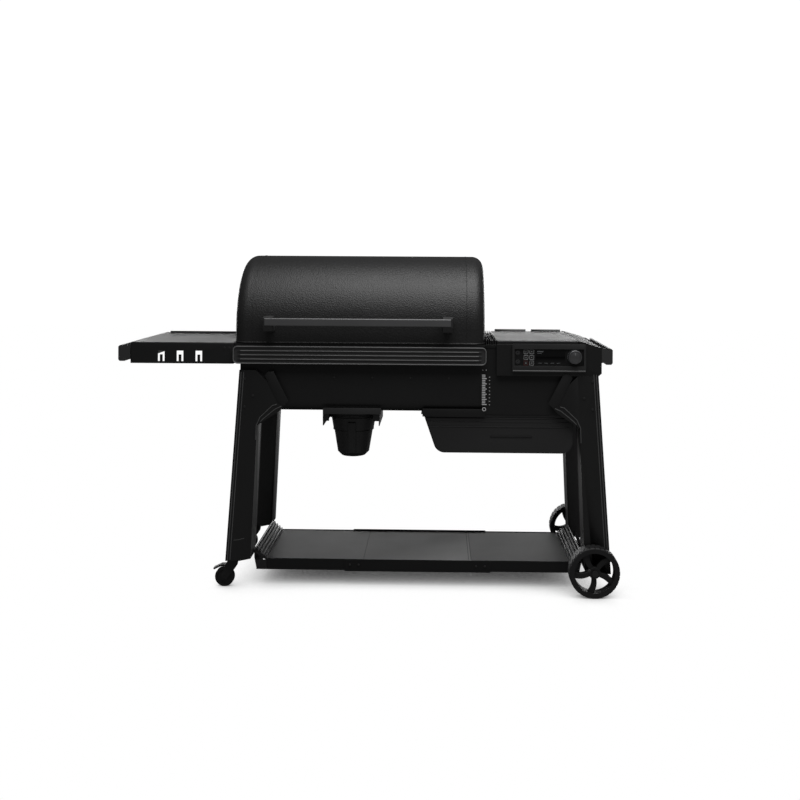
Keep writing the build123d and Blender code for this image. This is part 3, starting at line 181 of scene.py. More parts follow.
def moulded(name, colour, roughness, grain=1600.0, depth=0.00006):
    """Moulded plastic with a spark-eroded grain and faint scuffs."""
    finish = Finish(name, colour, roughness)
    grain_height = finish.noise(grain, detail=2.0)
    scuff = finish.noise(30.0, detail=5.0, stretch=(1.0, 1.0, 4.0))
    finish.colour(finish.blend(colour, tuple(1.5 * part + 0.002 for part in colour), scuff * 0.7))
    finish.roughness(scuff * 0.15 + (roughness - 0.07))
    finish.bump(grain_height, depth)
    return finish.material


def steel(name, colour, roughness, stretch=(1.0, 40.0, 40.0)):
    """Drawn or brushed steel, its lines along X unless the stretch says otherwise."""
    finish = Finish(name, colour, roughness, metallic=1.0)
    lines = finish.noise(60.0, detail=4.0, stretch=stretch)
    stain = finish.noise(12.0, detail=5.0)
    stained = tuple(0.6 * part for part in colour)
    finish.colour(finish.blend(stained, colour, (stain * 0.7 + lines * 0.5).clipped()))
    finish.roughness(lines * 0.2 + stain * 0.15 + (roughness - 0.15))
    finish.bump(lines, 0.00004)
    return finish.material


def enamel(name, colour):
    """Porcelain enamel on cooking iron: glossy, a little wavy, dulled in patches by heat."""
    finish = Finish(name, colour, 0.25, coat=0.3)
    wave = finish.noise(160.0, detail=2.0)
    dulled = finish.noise(18.0, detail=5.0)
    finish.colour(finish.blend(colour, (0.06, 0.055, 0.05), (dulled - 0.35).clipped()))
    finish.roughness(dulled * 0.5 + 0.05)
    finish.bump(wave, 0.0002)
    return finish.material


def gloss(name, colour, roughness=0.08):
    """Polished plastic or glass with faint smears."""
    finish = Finish(name, colour, roughness)
    smear = finish.noise(14.0, detail=4.0, stretch=(1.0, 1.0, 3.0))
    ripple = finish.noise(60.0, detail=1.0)
    finish.colour(finish.blend(colour, tuple(1.4 * part + 0.001 for part in colour), smear))
    finish.roughness(smear * 0.1 + (roughness - 0.03))
    finish.bump(ripple, 0.00002)
    return finish.material


def print_ink(name, colour, glow=0.0):
    """Printed or lit marks on the panel."""
    finish = Finish(name, colour, 0.5)
    speckle = finish.noise(2500.0, detail=1.0)
    finish.colour(finish.blend(tuple(0.8 * part for part in colour), colour, speckle))
    finish.roughness(speckle * 0.2 + 0.4)
    finish.bump(speckle, 0.00002)
    if glow:
        finish.shader.inputs["Emission Color"].default_value = (*colour, 1.0)
        finish.shader.inputs["Emission Strength"].default_value = glow
    return finish.material


FINE_GRAIN = 1500.0  # grains of thin paint in a metre
SCREW_GRAIN = 2000.0  # and on small turned metal

FINISHES = {
    "lid_black": textured_coat("lid_paint", (0.015, 0.015, 0.0152), 0.38),
    "casing_black": powder_coat("casing_paint", (0.013, 0.013, 0.0132), 0.42, specular=0.4),
    "rail_black": powder_coat("rail_paint", (0.040, 0.040, 0.0405), 0.36, FINE_GRAIN, 0.00006, specular=0.8),
    "handle_grey": powder_coat("handle_paint", (0.08, 0.08, 0.082), 0.38, FINE_GRAIN, 0.00005, specular=1.0),
    "shelf_black": powder_coat("shelf_paint", (0.015, 0.015, 0.0153), 0.34, grain=1100.0, depth=0.00005),
    "leg_black": powder_coat("leg_paint", (0.013, 0.013, 0.0132), 0.42, specular=0.45),
    "bezel_black": moulded("bezel_plastic", (0.024, 0.024, 0.0245), 0.5),
    "panel_black": gloss("panel_gloss", (0.010, 0.010, 0.0103), 0.2),
    "button_black": moulded("button_rubber", (0.012, 0.012, 0.012), 0.6),
    "knob_grey": steel("knob_metal", (0.30, 0.30, 0.31), 0.38),
    "wheel_black": moulded("wheel_plastic", (0.010, 0.010, 0.0105), 0.55, grain=700.0, depth=0.00012),
    "caster_black": moulded("caster_plastic", (0.012, 0.012, 0.0125), 0.5),
    "steel": steel("pin_steel", (0.45, 0.45, 0.46), 0.35),
    "dark_fastener": powder_coat("screw_black", (0.05, 0.05, 0.052), 0.35, SCREW_GRAIN, 0.00004),
    "grate_enamel": enamel("grate_enamel", (0.012, 0.012, 0.013)),
    "firebox_steel": steel("firebox_steel", (0.42, 0.39, 0.36), 0.42),
    "keg_black": powder_coat("keg_paint", (0.030, 0.030, 0.0305), 0.42),
    "motor_grey": powder_coat("motor_paint", (0.10, 0.10, 0.10), 0.5),
    "inlet_black": moulded("inlet_plastic", (0.014, 0.014, 0.014), 0.45),
}
# Painted highlight: a pale paint for the front rail's rib crests, standing in for the light they catch.
RAIL_HIGHLIGHT_PAINT = powder_coat("rail_highlight_paint", (0.17, 0.17, 0.171), 0.35, FINE_GRAIN, 0.00004, specular=0.8)
# Painted highlight: a paler paint for the leg ridges, knee lines, bezel lip and shoulder ribs, standing in
# for the light their edges catch.
EDGE_HIGHLIGHT_PAINT = powder_coat("edge_highlight_paint", (0.10, 0.10, 0.1005), 0.35, FINE_GRAIN, 0.00004, specular=0.7)
# Painted shade: a near-black paint for the shaded gaps between the decks and the shadowed faces of their rear
# lips.
PAINTED_SHADE_BLACK = powder_coat("painted_shade_black", (0.003, 0.003, 0.003), 0.6, FINE_GRAIN, 0.00004, specular=0.1)
DECK_PAINT = powder_coat("deck_paint", (0.016, 0.016, 0.0162), 0.5, 1100.0, 0.00005, specular=0.12)
# Painted light: the rear legs get a lighter copy of the leg paint, standing in for light on their faces,
# which are in shade.
REAR_LEG_LIT_PAINT = powder_coat("rear_leg_lit_paint", (0.030, 0.030, 0.0305), 0.45)
OWN_FINISH = {  # nodes whose finish isn't their slot's
    "handle_brackets": powder_coat("bracket_paint", (0.034, 0.034, 0.0345), 0.42, 1200.0, 0.00008),
    "pan_head_screws": powder_coat("dull_screw", (0.024, 0.024, 0.0245), 0.4, SCREW_GRAIN, 0.00004),
    "probe_jacks": powder_coat("jack_metal", (0.030, 0.030, 0.031), 0.35, SCREW_GRAIN, 0.00003),
    "wheel_axle": powder_coat("axle_paint", (0.020, 0.020, 0.0205), 0.4, SCREW_GRAIN, 0.00003),
    "bottom_shelf_left": DECK_PAINT,
    "bottom_shelf_middle": DECK_PAINT,
    "bottom_shelf_right": DECK_PAINT,
    "leg_rear_left": REAR_LEG_LIT_PAINT,
    "leg_rear_right": REAR_LEG_LIT_PAINT,
}


def finish_of(node):
    return OWN_FINISH.get(node, FINISHES[slot_of[node]])


for node, skin in nodes.items():
    skin.data.materials.clear()
    skin.data.materials.append(finish_of(node))


# ---- pieces ----


def piece_from(bm, name, finish, body, smooth_angle=35.0):
    """Makes a bmesh into a piece that rides on a body."""
    mesh = bpy.data.meshes.new(name)
    bm.to_mesh(mesh)
    bm.free()
    mesh.materials.append(finish)
    mesh.shade_smooth()
    mesh.set_sharp_from_angle(angle=math.radians(smooth_angle))
    piece = bpy.data.objects.new(name, mesh)
    bpy.context.scene.collection.objects.link(piece)
    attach(piece, body)
    return piece


SHEET_ROUNDING = 0.6 * MM
SHEET_EDGE_ANGLE = 28.0  # degrees; gentler bends stay as they are
SAME_PLACE = 0.001 * MM


def soft_edged(node):
    """Stands in for a CAD node: the same shape, with its sharp edges rounded as bent and painted sheet is."""
    bm = bmesh.new()
    bm.from_mesh(nodes[node].data)
    bmesh.ops.remove_doubles(bm, verts=bm.verts, dist=SAME_PLACE)
    piece = piece_from(bm, node + "_finished", finish_of(node), body_of[node])
    rounding = piece.modifiers.new("rounding", "BEVEL")
    rounding.width = SHEET_ROUNDING
    rounding.segments = 2
    rounding.limit_method = "ANGLE"
    rounding.angle_limit = math.radians(SHEET_EDGE_ANGLE)
    rounding.harden_normals = True
    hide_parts(node)


SHEET_METAL = ("front_rail", "left_rail", "right_rail", "left_shelf", "hopper_casing", "hopper_lid",
               "leg_front_left", "leg_front_right", "leg_rear_left", "leg_rear_right",
               "bottom_shelf_left", "bottom_shelf_middle", "bottom_shelf_right", "shelf_end_left",
               "shelf_end_right", "storage_bin", "keg_rails", "control_bezel", "handle_brackets",
               "exhaust_duct", "pan_head_screws")
for sheet_node in SHEET_METAL:
    soft_edged(sheet_node)


def round_edges(bm, edges, rounding, segments=2):
    """Rounds some edges of a shape."""
    bmesh.ops.bevel(bm, geom=list(edges), offset=rounding, offset_type="OFFSET", segments=segments,
                    profile=0.5, affect="EDGES", clamp_overlap=True, material=-1)


def add_bar(bm, low, high, rounding):
    """A rounded bar between two corners."""
    low, high = Vector(low), Vector(high)
    spread = Matrix.Diagonal((*(high - low), 1.0))
    made = bmesh.ops.create_cube(bm, size=1.0, matrix=Matrix.Translation((low + high) / 2) @ spread)
    round_edges(bm, {edge for vert in made["verts"] for edge in vert.link_edges}, rounding)


def add_plate(bm, outline, front, back, rounding):
    """A plate cut to an outline of X and Z, from front to back in Y, with its front edges rounded."""
    verts = [bm.verts.new((x, back, z)) for x, z in outline]
    face = bm.faces.new(verts)
    grown = bmesh.ops.extrude_face_region(bm, geom=[face])["geom"]
    moved = [item for item in grown if isinstance(item, bmesh.types.BMVert)]
    bmesh.ops.translate(bm, verts=moved, vec=(0.0, front - back, 0.0))
    bmesh.ops.recalc_face_normals(bm, faces=list({f for vert in verts + moved for f in vert.link_faces}))
    round_edges(bm, {edge for vert in moved for edge in vert.link_edges}, rounding, segments=3)


def add_bead(bm, points, radius, closed=False):
    """A round bead that follows a line of points."""
    curve = bpy.data.curves.new("bead", "CURVE")
    curve.dimensions = "3D"
    curve.bevel_depth = radius
    curve.bevel_resolution = 2
    curve.use_fill_caps = not closed
    line = curve.splines.new("POLY")
    line.points.add(len(points) - 1)
    for point, place in zip(line.points, points):
        point.co = (*place, 1.0)
    line.use_cyclic_u = closed
    holder = bpy.data.objects.new("bead", curve)
    mesh = bpy.data.meshes.new_from_object(holder)
    bm.from_mesh(mesh)
    bpy.data.objects.remove(holder)
    bpy.data.curves.remove(curve)
    bpy.data.meshes.remove(mesh)


def add_disc(bm, centre, radius, front, back, rounding, segments=48):
    """A round plate across Y, with its front edge rounded."""
    middle = (front + back) / 2
    turned = Matrix.Translation((centre[0], middle, centre[1])) @ Matrix.Rotation(math.pi / 2, 4, "X")
    made = bmesh.ops.create_cone(bm, cap_ends=True, segments=segments, radius1=radius, radius2=radius,
                                 depth=back - front, matrix=turned)
    edges = {edge for vert in made["verts"] for edge in vert.link_edges}
    round_edges(bm, [edge for edge in edges if all(vert.co.y < middle for vert in edge.verts)], rounding)


def add_ring(bm, centre, outer, inner, front, back):
    """A flat ring across Y with a square section."""
    section = [(inner, front), (outer, front), (outer, back), (inner, back)]
    verts = [bm.verts.new((centre[0] + radius, y, centre[1])) for radius, y in section]
    edges = [bm.edges.new((verts[i], verts[(i + 1) % 4])) for i in range(4)]
    bmesh.ops.spin(bm, geom=verts + edges, cent=(centre[0], 0.0, centre[1]), axis=(0.0, 1.0, 0.0),
                   angle=2 * math.pi, steps=40, use_merge=True)
    bmesh.ops.remove_doubles(bm, verts=bm.verts, dist=SAME_PLACE / 10)
    bmesh.ops.recalc_face_normals(bm, faces=bm.faces)


def arc(centre, radius, start, end, steps):
    """Points on an arc in a plane, its angles in degrees."""
    turns = [math.radians(start + (end - start) * step / steps) for step in range(steps + 1)]
    return [(centre[0] + radius * math.cos(turn), centre[1] + radius * math.sin(turn)) for turn in turns]


def rounded_loop(low, high, corner, y, steps):
    """Points round a rectangle of X and Z with round corners, at one depth."""
    (left, bottom), (right, top) = low, high
    centres = ((right - corner, top - corner), (left + corner, top - corner),
               (left + corner, bottom + corner), (right - corner, bottom + corner))
    return [(x, y, z) for quarter, centre in enumerate(centres)
            for x, z in arc(centre, corner, 90 * quarter, 90 * (quarter + 1), steps)]


def surface_under(node, places, height):
    """The points of a CAD node's surface that lie straight under some places, looked for from a height."""
    mesh = nodes[node].data
    verts = [vert.co for vert in mesh.vertices]
    tree = BVHTree.FromPolygons(verts, [face.vertices for face in mesh.polygons])
    down = Vector((0.0, 0.0, -1.0))
    return [tree.ray_cast(Vector((x, y, height)), down)[0] for x, y in places]


# ---- lid ----

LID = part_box("lid")
LID_FRONT_RADIUS = 260 * MM
LID_REAR_RADIUS = 212 * MM
LID_CORNER = 42 * MM
LID_SEAM_INSET = 66 * MM
LID_SEAM = 1.1 * MM
LID_HEM = 3.0 * MM
LID_HEM_LIFT = 3.5 * MM
LID_HEM_END = 30 * MM  # the hem stops this far before the lid's rear edge
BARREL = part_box("barrel_shell")
barrel_front = BARREL[0].y
lid_left, lid_front, lid_low = LID[0].x, LID[0].y, LID[0].z
lid_right, lid_top = LID[1].x, LID[1].z
lid_rear = BARREL[1].y


def lid_section(x):
    """The lid's cross-section at x, from the front hem over the top to the rear."""
    front_centre = (lid_front + LID_FRONT_RADIUS, lid_top - LID_FRONT_RADIUS)
    rear_centre = (lid_rear - LID_REAR_RADIUS, lid_top - LID_REAR_RADIUS)
    foot = lid_low + 2 * LID_HEM
    line = [(lid_front, foot)]
    line += arc(front_centre, LID_FRONT_RADIUS, 180, 90, 24)
    line += arc(rear_centre, LID_REAR_RADIUS, 90, 0, 20)
    line.append((lid_rear, foot))
    return [(x, y, z) for y, z in line]


def lid_trim():
    """The pressed seams near the lid's ends, and the rolled hem round its open edge."""
    bm = bmesh.new()
    for x in (lid_left + LID_SEAM_INSET, lid_right - LID_SEAM_INSET):
        add_bead(bm, lid_section(x), LID_SEAM)
    hem_z = lid_low + LID_HEM_LIFT
    corner = LID_CORNER
    plan = [(lid_left, lid_rear - LID_HEM_END)]
    plan += arc((lid_left + corner, lid_front + corner), corner, 180, 270, 10)
    plan += arc((lid_right - corner, lid_front + corner), corner, 270, 360, 10)
    plan.append((lid_right, lid_rear - LID_HEM_END))
    add_bead(bm, [(x, y, hem_z) for x, y in plan], LID_HEM)
    piece_from(bm, "lid_trim", FINISHES["lid_black"], "lid")


lid_trim()

# ---- control panel ----

face_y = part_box("control_face")[0].y
BUTTONS = [f"button_row{row}_{side}" for row in (1, 2, 3) for side in ("left", "right")]
RED_BUTTON = 4
ICON_SIZE = 1.9 * MM
ICON_DEPTH = 0.25 * MM
INK_ROUNDING = 0.05 * MM
OUTLINE_INSET = 2.2 * MM  # from the button's edge; also the outline's corner radius
OUTLINE_LINE = 0.5 * MM
DISPLAY_GAP = 4.0 * MM  # from the right button
DISPLAY_WIDTH = 106 * MM
DISPLAY_HALF_HEIGHT = 27 * MM
DISPLAY_DROP = 3 * MM  # its middle lies this far under the knob's
DISPLAY_CLEARANCE = 0.4 * MM
JACK_RADIUS = 8.5 * MM
white_ink = print_ink("panel_print", (0.55, 0.56, 0.57))
red_ink = print_ink("red_print", (0.16, 0.012, 0.010))
screen_ink = print_ink("screen_print", (0.20, 0.21, 0.22), glow=0.15)
display_glass = gloss("display_glass", (0.002, 0.002, 0.0023), 0.05)


def button_icons(number, bm, x, z, y):
    """A small raised sign for each button: an arrow, two lines, two triangles, and two kinds of ring."""
    r = ICON_SIZE
    back = y + 0.1 * MM
    front = y - ICON_DEPTH
    if number == 0:
        chevron = [(x - r, z), (x, z + r), (x + r * 0.2, z + r * 0.8), (x - r * 0.6, z),
                   (x + r * 0.2, z - r * 0.8), (x, z - r)]
        add_plate(bm, chevron, front, back, INK_ROUNDING)
    elif number == 1:
        add_bar(bm, (x - r, front, z + r * 0.4), (x + r, back, z + r * 0.75), INK_ROUNDING)
        add_bar(bm, (x - r, front, z - r * 0.75), (x + r, back, z - r * 0.4), INK_ROUNDING)
    elif number == 2:
        add_plate(bm, [(x - r, z - r * 0.6), (x + r, z - r * 0.6), (x, z + r)], front, back, INK_ROUNDING)
    elif number == 3:
        add_plate(bm, [(x - r, z + r * 0.6), (x, z - r), (x + r, z + r * 0.6)], front, back, INK_ROUNDING)
    elif number == 4:
        add_ring(bm, (x, z), r, r * 0.62, front, back)
        add_bar(bm, (x - r * 0.18, front, z), (x + r * 0.18, back, z + r * 1.3), INK_ROUNDING)
    else:
        add_ring(bm, (x, z), r, r * 0.62, front, back)
        add_disc(bm, (x, z), r * 0.3, front, back, 0.05 * MM, segments=12)


def button_outline(bm, x, z, y, half):
    """A printed line round a button's face."""
    line = rounded_loop((x - half, z - half), (x + half, z + half), OUTLINE_INSET, y, 5)
    add_bead(bm, line, OUTLINE_LINE, closed=True)


def buttons():
    """An outline and a sign on each button, which ride with it."""
    for number, node in enumerate(BUTTONS):
        low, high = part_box(node)
        x, z = (low.x + high.x) / 2, (low.z + high.z) / 2
        half = (high.x - low.x) / 2 - OUTLINE_INSET
        outline = bmesh.new()
        button_outline(outline, x, z, low.y, half)
        ink = red_ink if number == RED_BUTTON else white_ink
        piece_from(outline, node + "_outline", ink, body_of[node])
        icon = bmesh.new()
        button_icons(number, icon, x, z, low.y)
        piece_from(icon, node + "_icon", white_ink, body_of[node])


def display():
    """Smoked glass in its recess, with a few plain marks on it."""
    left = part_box("button_row1_right")[1].x + DISPLAY_GAP
    right = left + DISPLAY_WIDTH
    knob_low, knob_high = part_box("control_knob")
    middle_z = (knob_low.z + knob_high.z) / 2 - DISPLAY_DROP
    half = DISPLAY_HALF_HEIGHT
    inset = DISPLAY_CLEARANCE
    bm = bmesh.new()
    add_bar(bm, (left + inset, face_y + 0.15 * MM, middle_z - half + inset),
            (right - inset, face_y + 0.95 * MM, middle_z + half - inset), 0.3 * MM)
    piece_from(bm, "display_window", display_glass, "root")
    marks = bmesh.new()
    y0, y1 = face_y - 0.05 * MM, face_y + 0.2 * MM
    top = middle_z + half - 8 * MM
    for number in range(5):
        x = left + (7 + 4.4 * number) * MM
        add_bar(marks, (x, y0, top), (x + 3 * MM, y1, top + 4 * MM), INK_ROUNDING)
    add_bar(marks, (left + 7 * MM, y0, top - 5 * MM), (left + 22 * MM, y1, top - 4 * MM), INK_ROUNDING)
    for number in range(4):
        x = left + (10 + 22 * number) * MM
        add_bar(marks, (x, y0, middle_z - half + 6 * MM), (x + 12 * MM, y1, middle_z - half + 7 * MM),
                INK_ROUNDING)
    piece_from(marks, "display_marks", screen_ink, "root")


def knob():
    """A turned cap with a ring and a pointer line on the knob, and a tick and a circle round it."""
    low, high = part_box("control_knob")
    x, z = (low.x + high.x) / 2, (low.z + high.z) / 2
    radius = (high.x - low.x) / 2
    front = low.y
    cap = bmesh.new()
    add_ring(cap, (x, z), radius - 1.6 * MM, radius - 4.6 * MM, front - 0.3 * MM, front + 1.4 * MM)
    add_disc(cap, (x, z), radius - 6 * MM, front + 0.4 * MM, front + 1.3 * MM, 0.4 * MM)
    piece_from(cap, "knob_cap", FINISHES["knob_grey"], body_of["control_knob"])
    pointer = bmesh.new()
    add_bar(pointer, (x - 0.6 * MM, front + 0.1 * MM, z + 6 * MM),
            (x + 0.6 * MM, front + 0.6 * MM, z + 15 * MM), 0.2 * MM)
    piece_from(pointer, "knob_pointer", white_ink, body_of["control_knob"])
    ticks = bmesh.new()
    add_bar(ticks, (x - 6 * MM, face_y - 0.2 * MM, z + radius + 3 * MM),
            (x + 6 * MM, face_y + 0.1 * MM, z + radius + 4 * MM), INK_ROUNDING)
    add_ring(ticks, (x, z), radius + 1.6 * MM, radius + 1.1 * MM, face_y - 0.2 * MM, face_y + 0.1 * MM)
    # Painted light: the printed tick and circle share the display's glowing ink, so they glow a little.
    piece_from(ticks, "knob_ticks", screen_ink, "root")


def jack_rings():
    """A ring round each of the two jacks, and a short line under it."""
    low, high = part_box("probe_jacks")
    x = (low.x + high.x) / 2
    bm = bmesh.new()
    for z in (high.z - JACK_RADIUS, low.z + JACK_RADIUS):
        add_ring(bm, (x, z), 5.2 * MM, 3.2 * MM, low.y - 0.4 * MM, low.y + 0.6 * MM)
        add_bar(bm, (x - 2.5 * MM, face_y - 0.2 * MM, z - 11.5 * MM),
                (x + 2.5 * MM, face_y + 0.1 * MM, z - 10.7 * MM), INK_ROUNDING)
    piece_from(bm, "probe_jack_rings", print_ink("jack_ring", (0.06, 0.06, 0.062)), "root")


buttons()
display()
knob()
jack_rings()

# ---- hopper level marks, in place of a printed label ----

GAUGE_INSET = 11 * MM  # from the barrel's right end
GAUGE_TICKS = 18
GAUGE_LOW = 672 * MM
GAUGE_PITCH = 6.2 * MM
GAUGE_RING_Z = 657 * MM
GAUGE_DOTS_Z = 797 * MM


def level_marks():
    """Two columns of short ticks over a ring, as a plain fill gauge."""
    bm = bmesh.new()
    y0, y1 = barrel_front - 0.3 * MM, barrel_front + 0.1 * MM
    left = BARREL[1].x - GAUGE_INSET
    for number in range(GAUGE_TICKS):
        z = GAUGE_LOW + number * GAUGE_PITCH
        long_tick = number % 3 == 0
        add_bar(bm, (left, y0, z), (left + (17 if long_tick else 12) * MM, y1, z + 3.3 * MM), 0.1 * MM)
        if number % 2 == 0:
            add_bar(bm, (left + 25 * MM, y0, z), (left + 29 * MM, y1, z + 2.0 * MM), 0.1 * MM)
    add_ring(bm, (left + 8 * MM, GAUGE_RING_Z), 7 * MM, 4.6 * MM, y0, y1)
    for column in range(2):
        add_disc(bm, (left + (3 + 12 * column) * MM, GAUGE_DOTS_Z), 1.5 * MM, y0, y1, 0.1 * MM, segments=12)
    piece_from(bm, "level_marks", print_ink("label_print", (0.85, 0.85, 0.86)), "root")


level_marks()

# ---- legs, in millimetres on the left leg's face, and mirrored for the right leg ----

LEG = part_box("leg_front_left")
LEG_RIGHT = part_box("leg_front_right")
leg_front = LEG[0].y
leg_middle = (LEG[1].x + LEG_RIGHT[0].x) / 2
LEG_TOP = 784
LEG_FEET = {False: 108, True: 78}  # height of the foot of the left and of the right leg
LEG_OUTER_X = -461  # the outer edge at the top
LEG_LEAN = 47 / 688  # how far the outer edge runs out for each step down
LEG_FLANGE_DEPTH = 84.0
KNEE_OUTER_LINE = ((-401, 540), (-399, 592), (-386, 621), (-341, 664), (-326, 668))
KNEE_INNER_LINE = ((-384, 606), (-372, 618), (-330, 652), (-308, 662))
FLANGE_LINE = ((-396.5, 588), (-416, 140))
GUSSET_BAND = ((-370, 771), (-358, 786), (-338, 786), (-283, 680), (-300, 662), (-322, 676))


def on_leg(points, right):
    """Points of X and Z in metres, mirrored to the right leg where asked."""
    return [((2 * leg_middle - x * MM) if right else x * MM, z * MM) for x, z in points]


def leg_face(name, right):
    """Pressed detail of a front leg: ridges by the outer edge, lines round the knee, the gusset's band. The
    ridges and knee lines are beads in a paler paint, a painted highlight.
    """
    foot = LEG_FEET[right]

    def bead(bm, points, depth, radius):
        add_bead(bm, [(x, leg_front + depth * MM, z) for x, z in on_leg(points, right)], radius * MM)

    bm = bmesh.new()
    for inset in (7, 16):
        x = LEG_OUTER_X + inset
        bead(bm, [(x, LEG_TOP), (x - (LEG_TOP - foot) * LEG_LEAN, foot)], -0.2, 1.6)
    bead(bm, KNEE_OUTER_LINE, -0.3, 1.5)
    bead(bm, KNEE_INNER_LINE, -0.3, 1.5)
    bead(bm, FLANGE_LINE, LEG_FLANGE_DEPTH, 1.3)
    bead(bm, [(-478, foot + 70), (-460, foot + 72), (-440, foot + 78)], -0.1, 0.9)
    # Painted highlight: the ridges and knee lines are painted lighter than the leg.
    piece_from(bm, name + "_ridge_highlights", EDGE_HIGHLIGHT_PAINT, "root")
    bm = bmesh.new()
    add_plate(bm, on_leg(GUSSET_BAND, right), leg_front - 1.5 * MM, leg_front + 1.0 * MM, 1.4 * MM)
    piece_from(bm, name, FINISHES["leg_black"], "root")


def rear_leg_cover(name, right):
    """Closes the front of a rear leg's channel, in the rear legs' lighter paint, which is painted light."""
    foot = LEG_FEET[right]
    outline = [(-458, 660), (-508 + (foot - 103) * 0.07, foot), (-424, foot), (-398, 592), (-398, 660)]
    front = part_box("leg_rear_left")[0].y
    bm = bmesh.new()
    add_plate(bm, on_leg(outline, right), front + 1.0 * MM, front + 3.0 * MM, 0.8 * MM)
    piece_from(bm, name, REAR_LEG_LIT_PAINT, "root")


rear_leg_cover("rear_leg_cover_left", False)
rear_leg_cover("rear_leg_cover_right", True)
leg_face("leg_face_left", False)
leg_face("leg_face_right", True)

# ---- grease keg and bin ----

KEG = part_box("grease_keg")
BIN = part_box("storage_bin")
KEG_RIM = 4 * MM  # height of the keg's own rim
KEG_RIB_TOP = (85.5 * MM, 14 * MM)  # how far out the rib starts, and how far under the rim
KEG_RIB_FOOT = (60.5 * MM, 14 * MM)  # how far out it ends, and how far over the base
KEG_RIB_HALF_WIDTH = 15 * MM
KEG_RIB_OUT = 2.5 * MM
KEG_RIB_IN = 3 * MM
KEG_STEP_RADIUS = 76.8 * MM
KEG_RIM_RADIUS = 95 * MM
COLLAR_RADIUS = 94 * MM
COLLAR_LIFTS = (3.5, 9.0, 14.5, 20.0, 25.5)  # the collar's turns above the keg, in millimetres
HANGER_WIDTH = 24 * MM
SHEET_FOLD = 1.4 * MM
BIN_FOLDS = ((621, 0, 2.2), (608, 6, 1.6), (590, 14, 2.2))  # height, inset and radius, in millimetres


def keg_circle(radius, z):
    middle = ((KEG[0].x + KEG[1].x) / 2, (KEG[0].y + KEG[1].y) / 2)
    return [(x, y, z) for x, y in arc(middle, radius, 0, 355, 71)]


def keg_ribs():
    """The pressed rib down the keg's front, the bead at its step, its rolled rim, and the collar over it."""
    middle_x, middle_y = (KEG[0].x + KEG[1].x) / 2, (KEG[0].y + KEG[1].y) / 2
    rim_z = KEG[1].z - KEG_RIM
    low_z = KEG[0].z
    bm = bmesh.new()
    ends = []
    for radius, z in ((KEG_RIB_TOP[0], rim_z - KEG_RIB_TOP[1]), (KEG_RIB_FOOT[0], low_z + KEG_RIB_FOOT[1])):
        corners = ((-1, -KEG_RIB_IN), (-1, KEG_RIB_OUT), (1, KEG_RIB_OUT), (1, -KEG_RIB_IN))
        ends.append([bm.verts.new((middle_x + side * KEG_RIB_HALF_WIDTH, middle_y - radius - out, z))
                     for side, out in corners])
    top, low = ends
    bm.faces.new(top)
    bm.faces.new(low)
    for i in range(4):
        bm.faces.new((top[i], top[(i + 1) % 4], low[(i + 1) % 4], low[i]))
    bmesh.ops.recalc_face_normals(bm, faces=bm.faces)
    round_edges(bm, bm.edges, 2.2 * MM, segments=3)
    step_z = rim_z - (rim_z - low_z) / 3
    add_bead(bm, keg_circle(KEG_STEP_RADIUS, step_z), 1.6 * MM, closed=True)
    add_bead(bm, keg_circle(KEG_RIM_RADIUS, rim_z + KEG_RIM / 2), 2.4 * MM, closed=True)
    for lift in COLLAR_LIFTS:
        add_bead(bm, keg_circle(COLLAR_RADIUS, KEG[1].z + lift * MM), 3.4 * MM, closed=True)
    piece_from(bm, "keg_ribs", FINISHES["keg_black"], "keg")


def keg_hangers():
    """Two straps at the ends of the keg's rails, and the bar that they hang from."""
    bm = bmesh.new()
    low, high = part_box("keg_rails")
    for x in (low.x, high.x - HANGER_WIDTH):
        add_bar(bm, (x, low.y - 3 * MM, 588 * MM), (x + HANGER_WIDTH, low.y + 1 * MM, 640 * MM), 1.2 * MM)
    add_bar(bm, (low.x + 15 * MM, barrel_front + 2 * MM, 634 * MM),
            (high.x + 13 * MM, barrel_front + 8 * MM, 656 * MM), 1.2 * MM)
    piece_from(bm, "keg_hangers", FINISHES["keg_black"], "root")


def bin_face():
    """Folds across the bin's front, the lip of its grip, and the flange over it."""
    bm = bmesh.new()
    front = BIN[0].y + 3 * MM
    left, right = BIN[0].x, BIN[1].x
    for z, inset, size in BIN_FOLDS:
        add_bead(bm, [(left + (16 + inset) * MM, front, z * MM), (right - 14 * MM, front, z * MM)], size * MM)
    add_bar(bm, (left + 250 * MM, front - 3.0 * MM, 553 * MM), (left + 400 * MM, front + 1 * MM, 558 * MM),
            SHEET_FOLD)
    add_bar(bm, (left + 5 * MM, front - 12.0 * MM, 627 * MM),
            (BARREL[1].x + 1 * MM, front - 1 * MM, 655 * MM), SHEET_FOLD)
    piece_from(bm, "bin_folds", FINISHES["casing_black"], "root")


keg_ribs()
keg_hangers()
bin_face()

# ---- front rail, bottom shelf and wheels ----

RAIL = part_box("front_rail")
RAIL_RIBS = 3
RAIL_RIB_WIDTH = 4 * MM
RAIL_END_RADIUS = 14 * MM
SEAM_INSET = 6 * MM  # from the deck's front and rear edges


def rail_highlights():
    """Painted highlights: pale beads along the crests of the front rail's ribs, standing in for the light the
    ribs catch.
    """
    low, high = RAIL
    inset = RAIL_RIB_WIDTH / 2
    y = low.y + 0.2 * MM
    corner = RAIL_END_RADIUS
    bm = bmesh.new()
    line = rounded_loop((low.x + inset, low.z + inset), (high.x - inset, high.z - inset), corner, y, 8)
    add_bead(bm, line, 1.7 * MM, closed=True)
    pitch = (high.z - low.z - RAIL_RIB_WIDTH) / (RAIL_RIBS + 1)
    for row in range(1, RAIL_RIBS + 1):
        z = low.z + inset + row * pitch
        add_bead(bm, [(low.x + 2 * corner, y, z), (high.x - 2 * corner, y, z)], 1.5 * MM)
    piece_from(bm, "rail_highlights", RAIL_HIGHLIGHT_PAINT, "root")


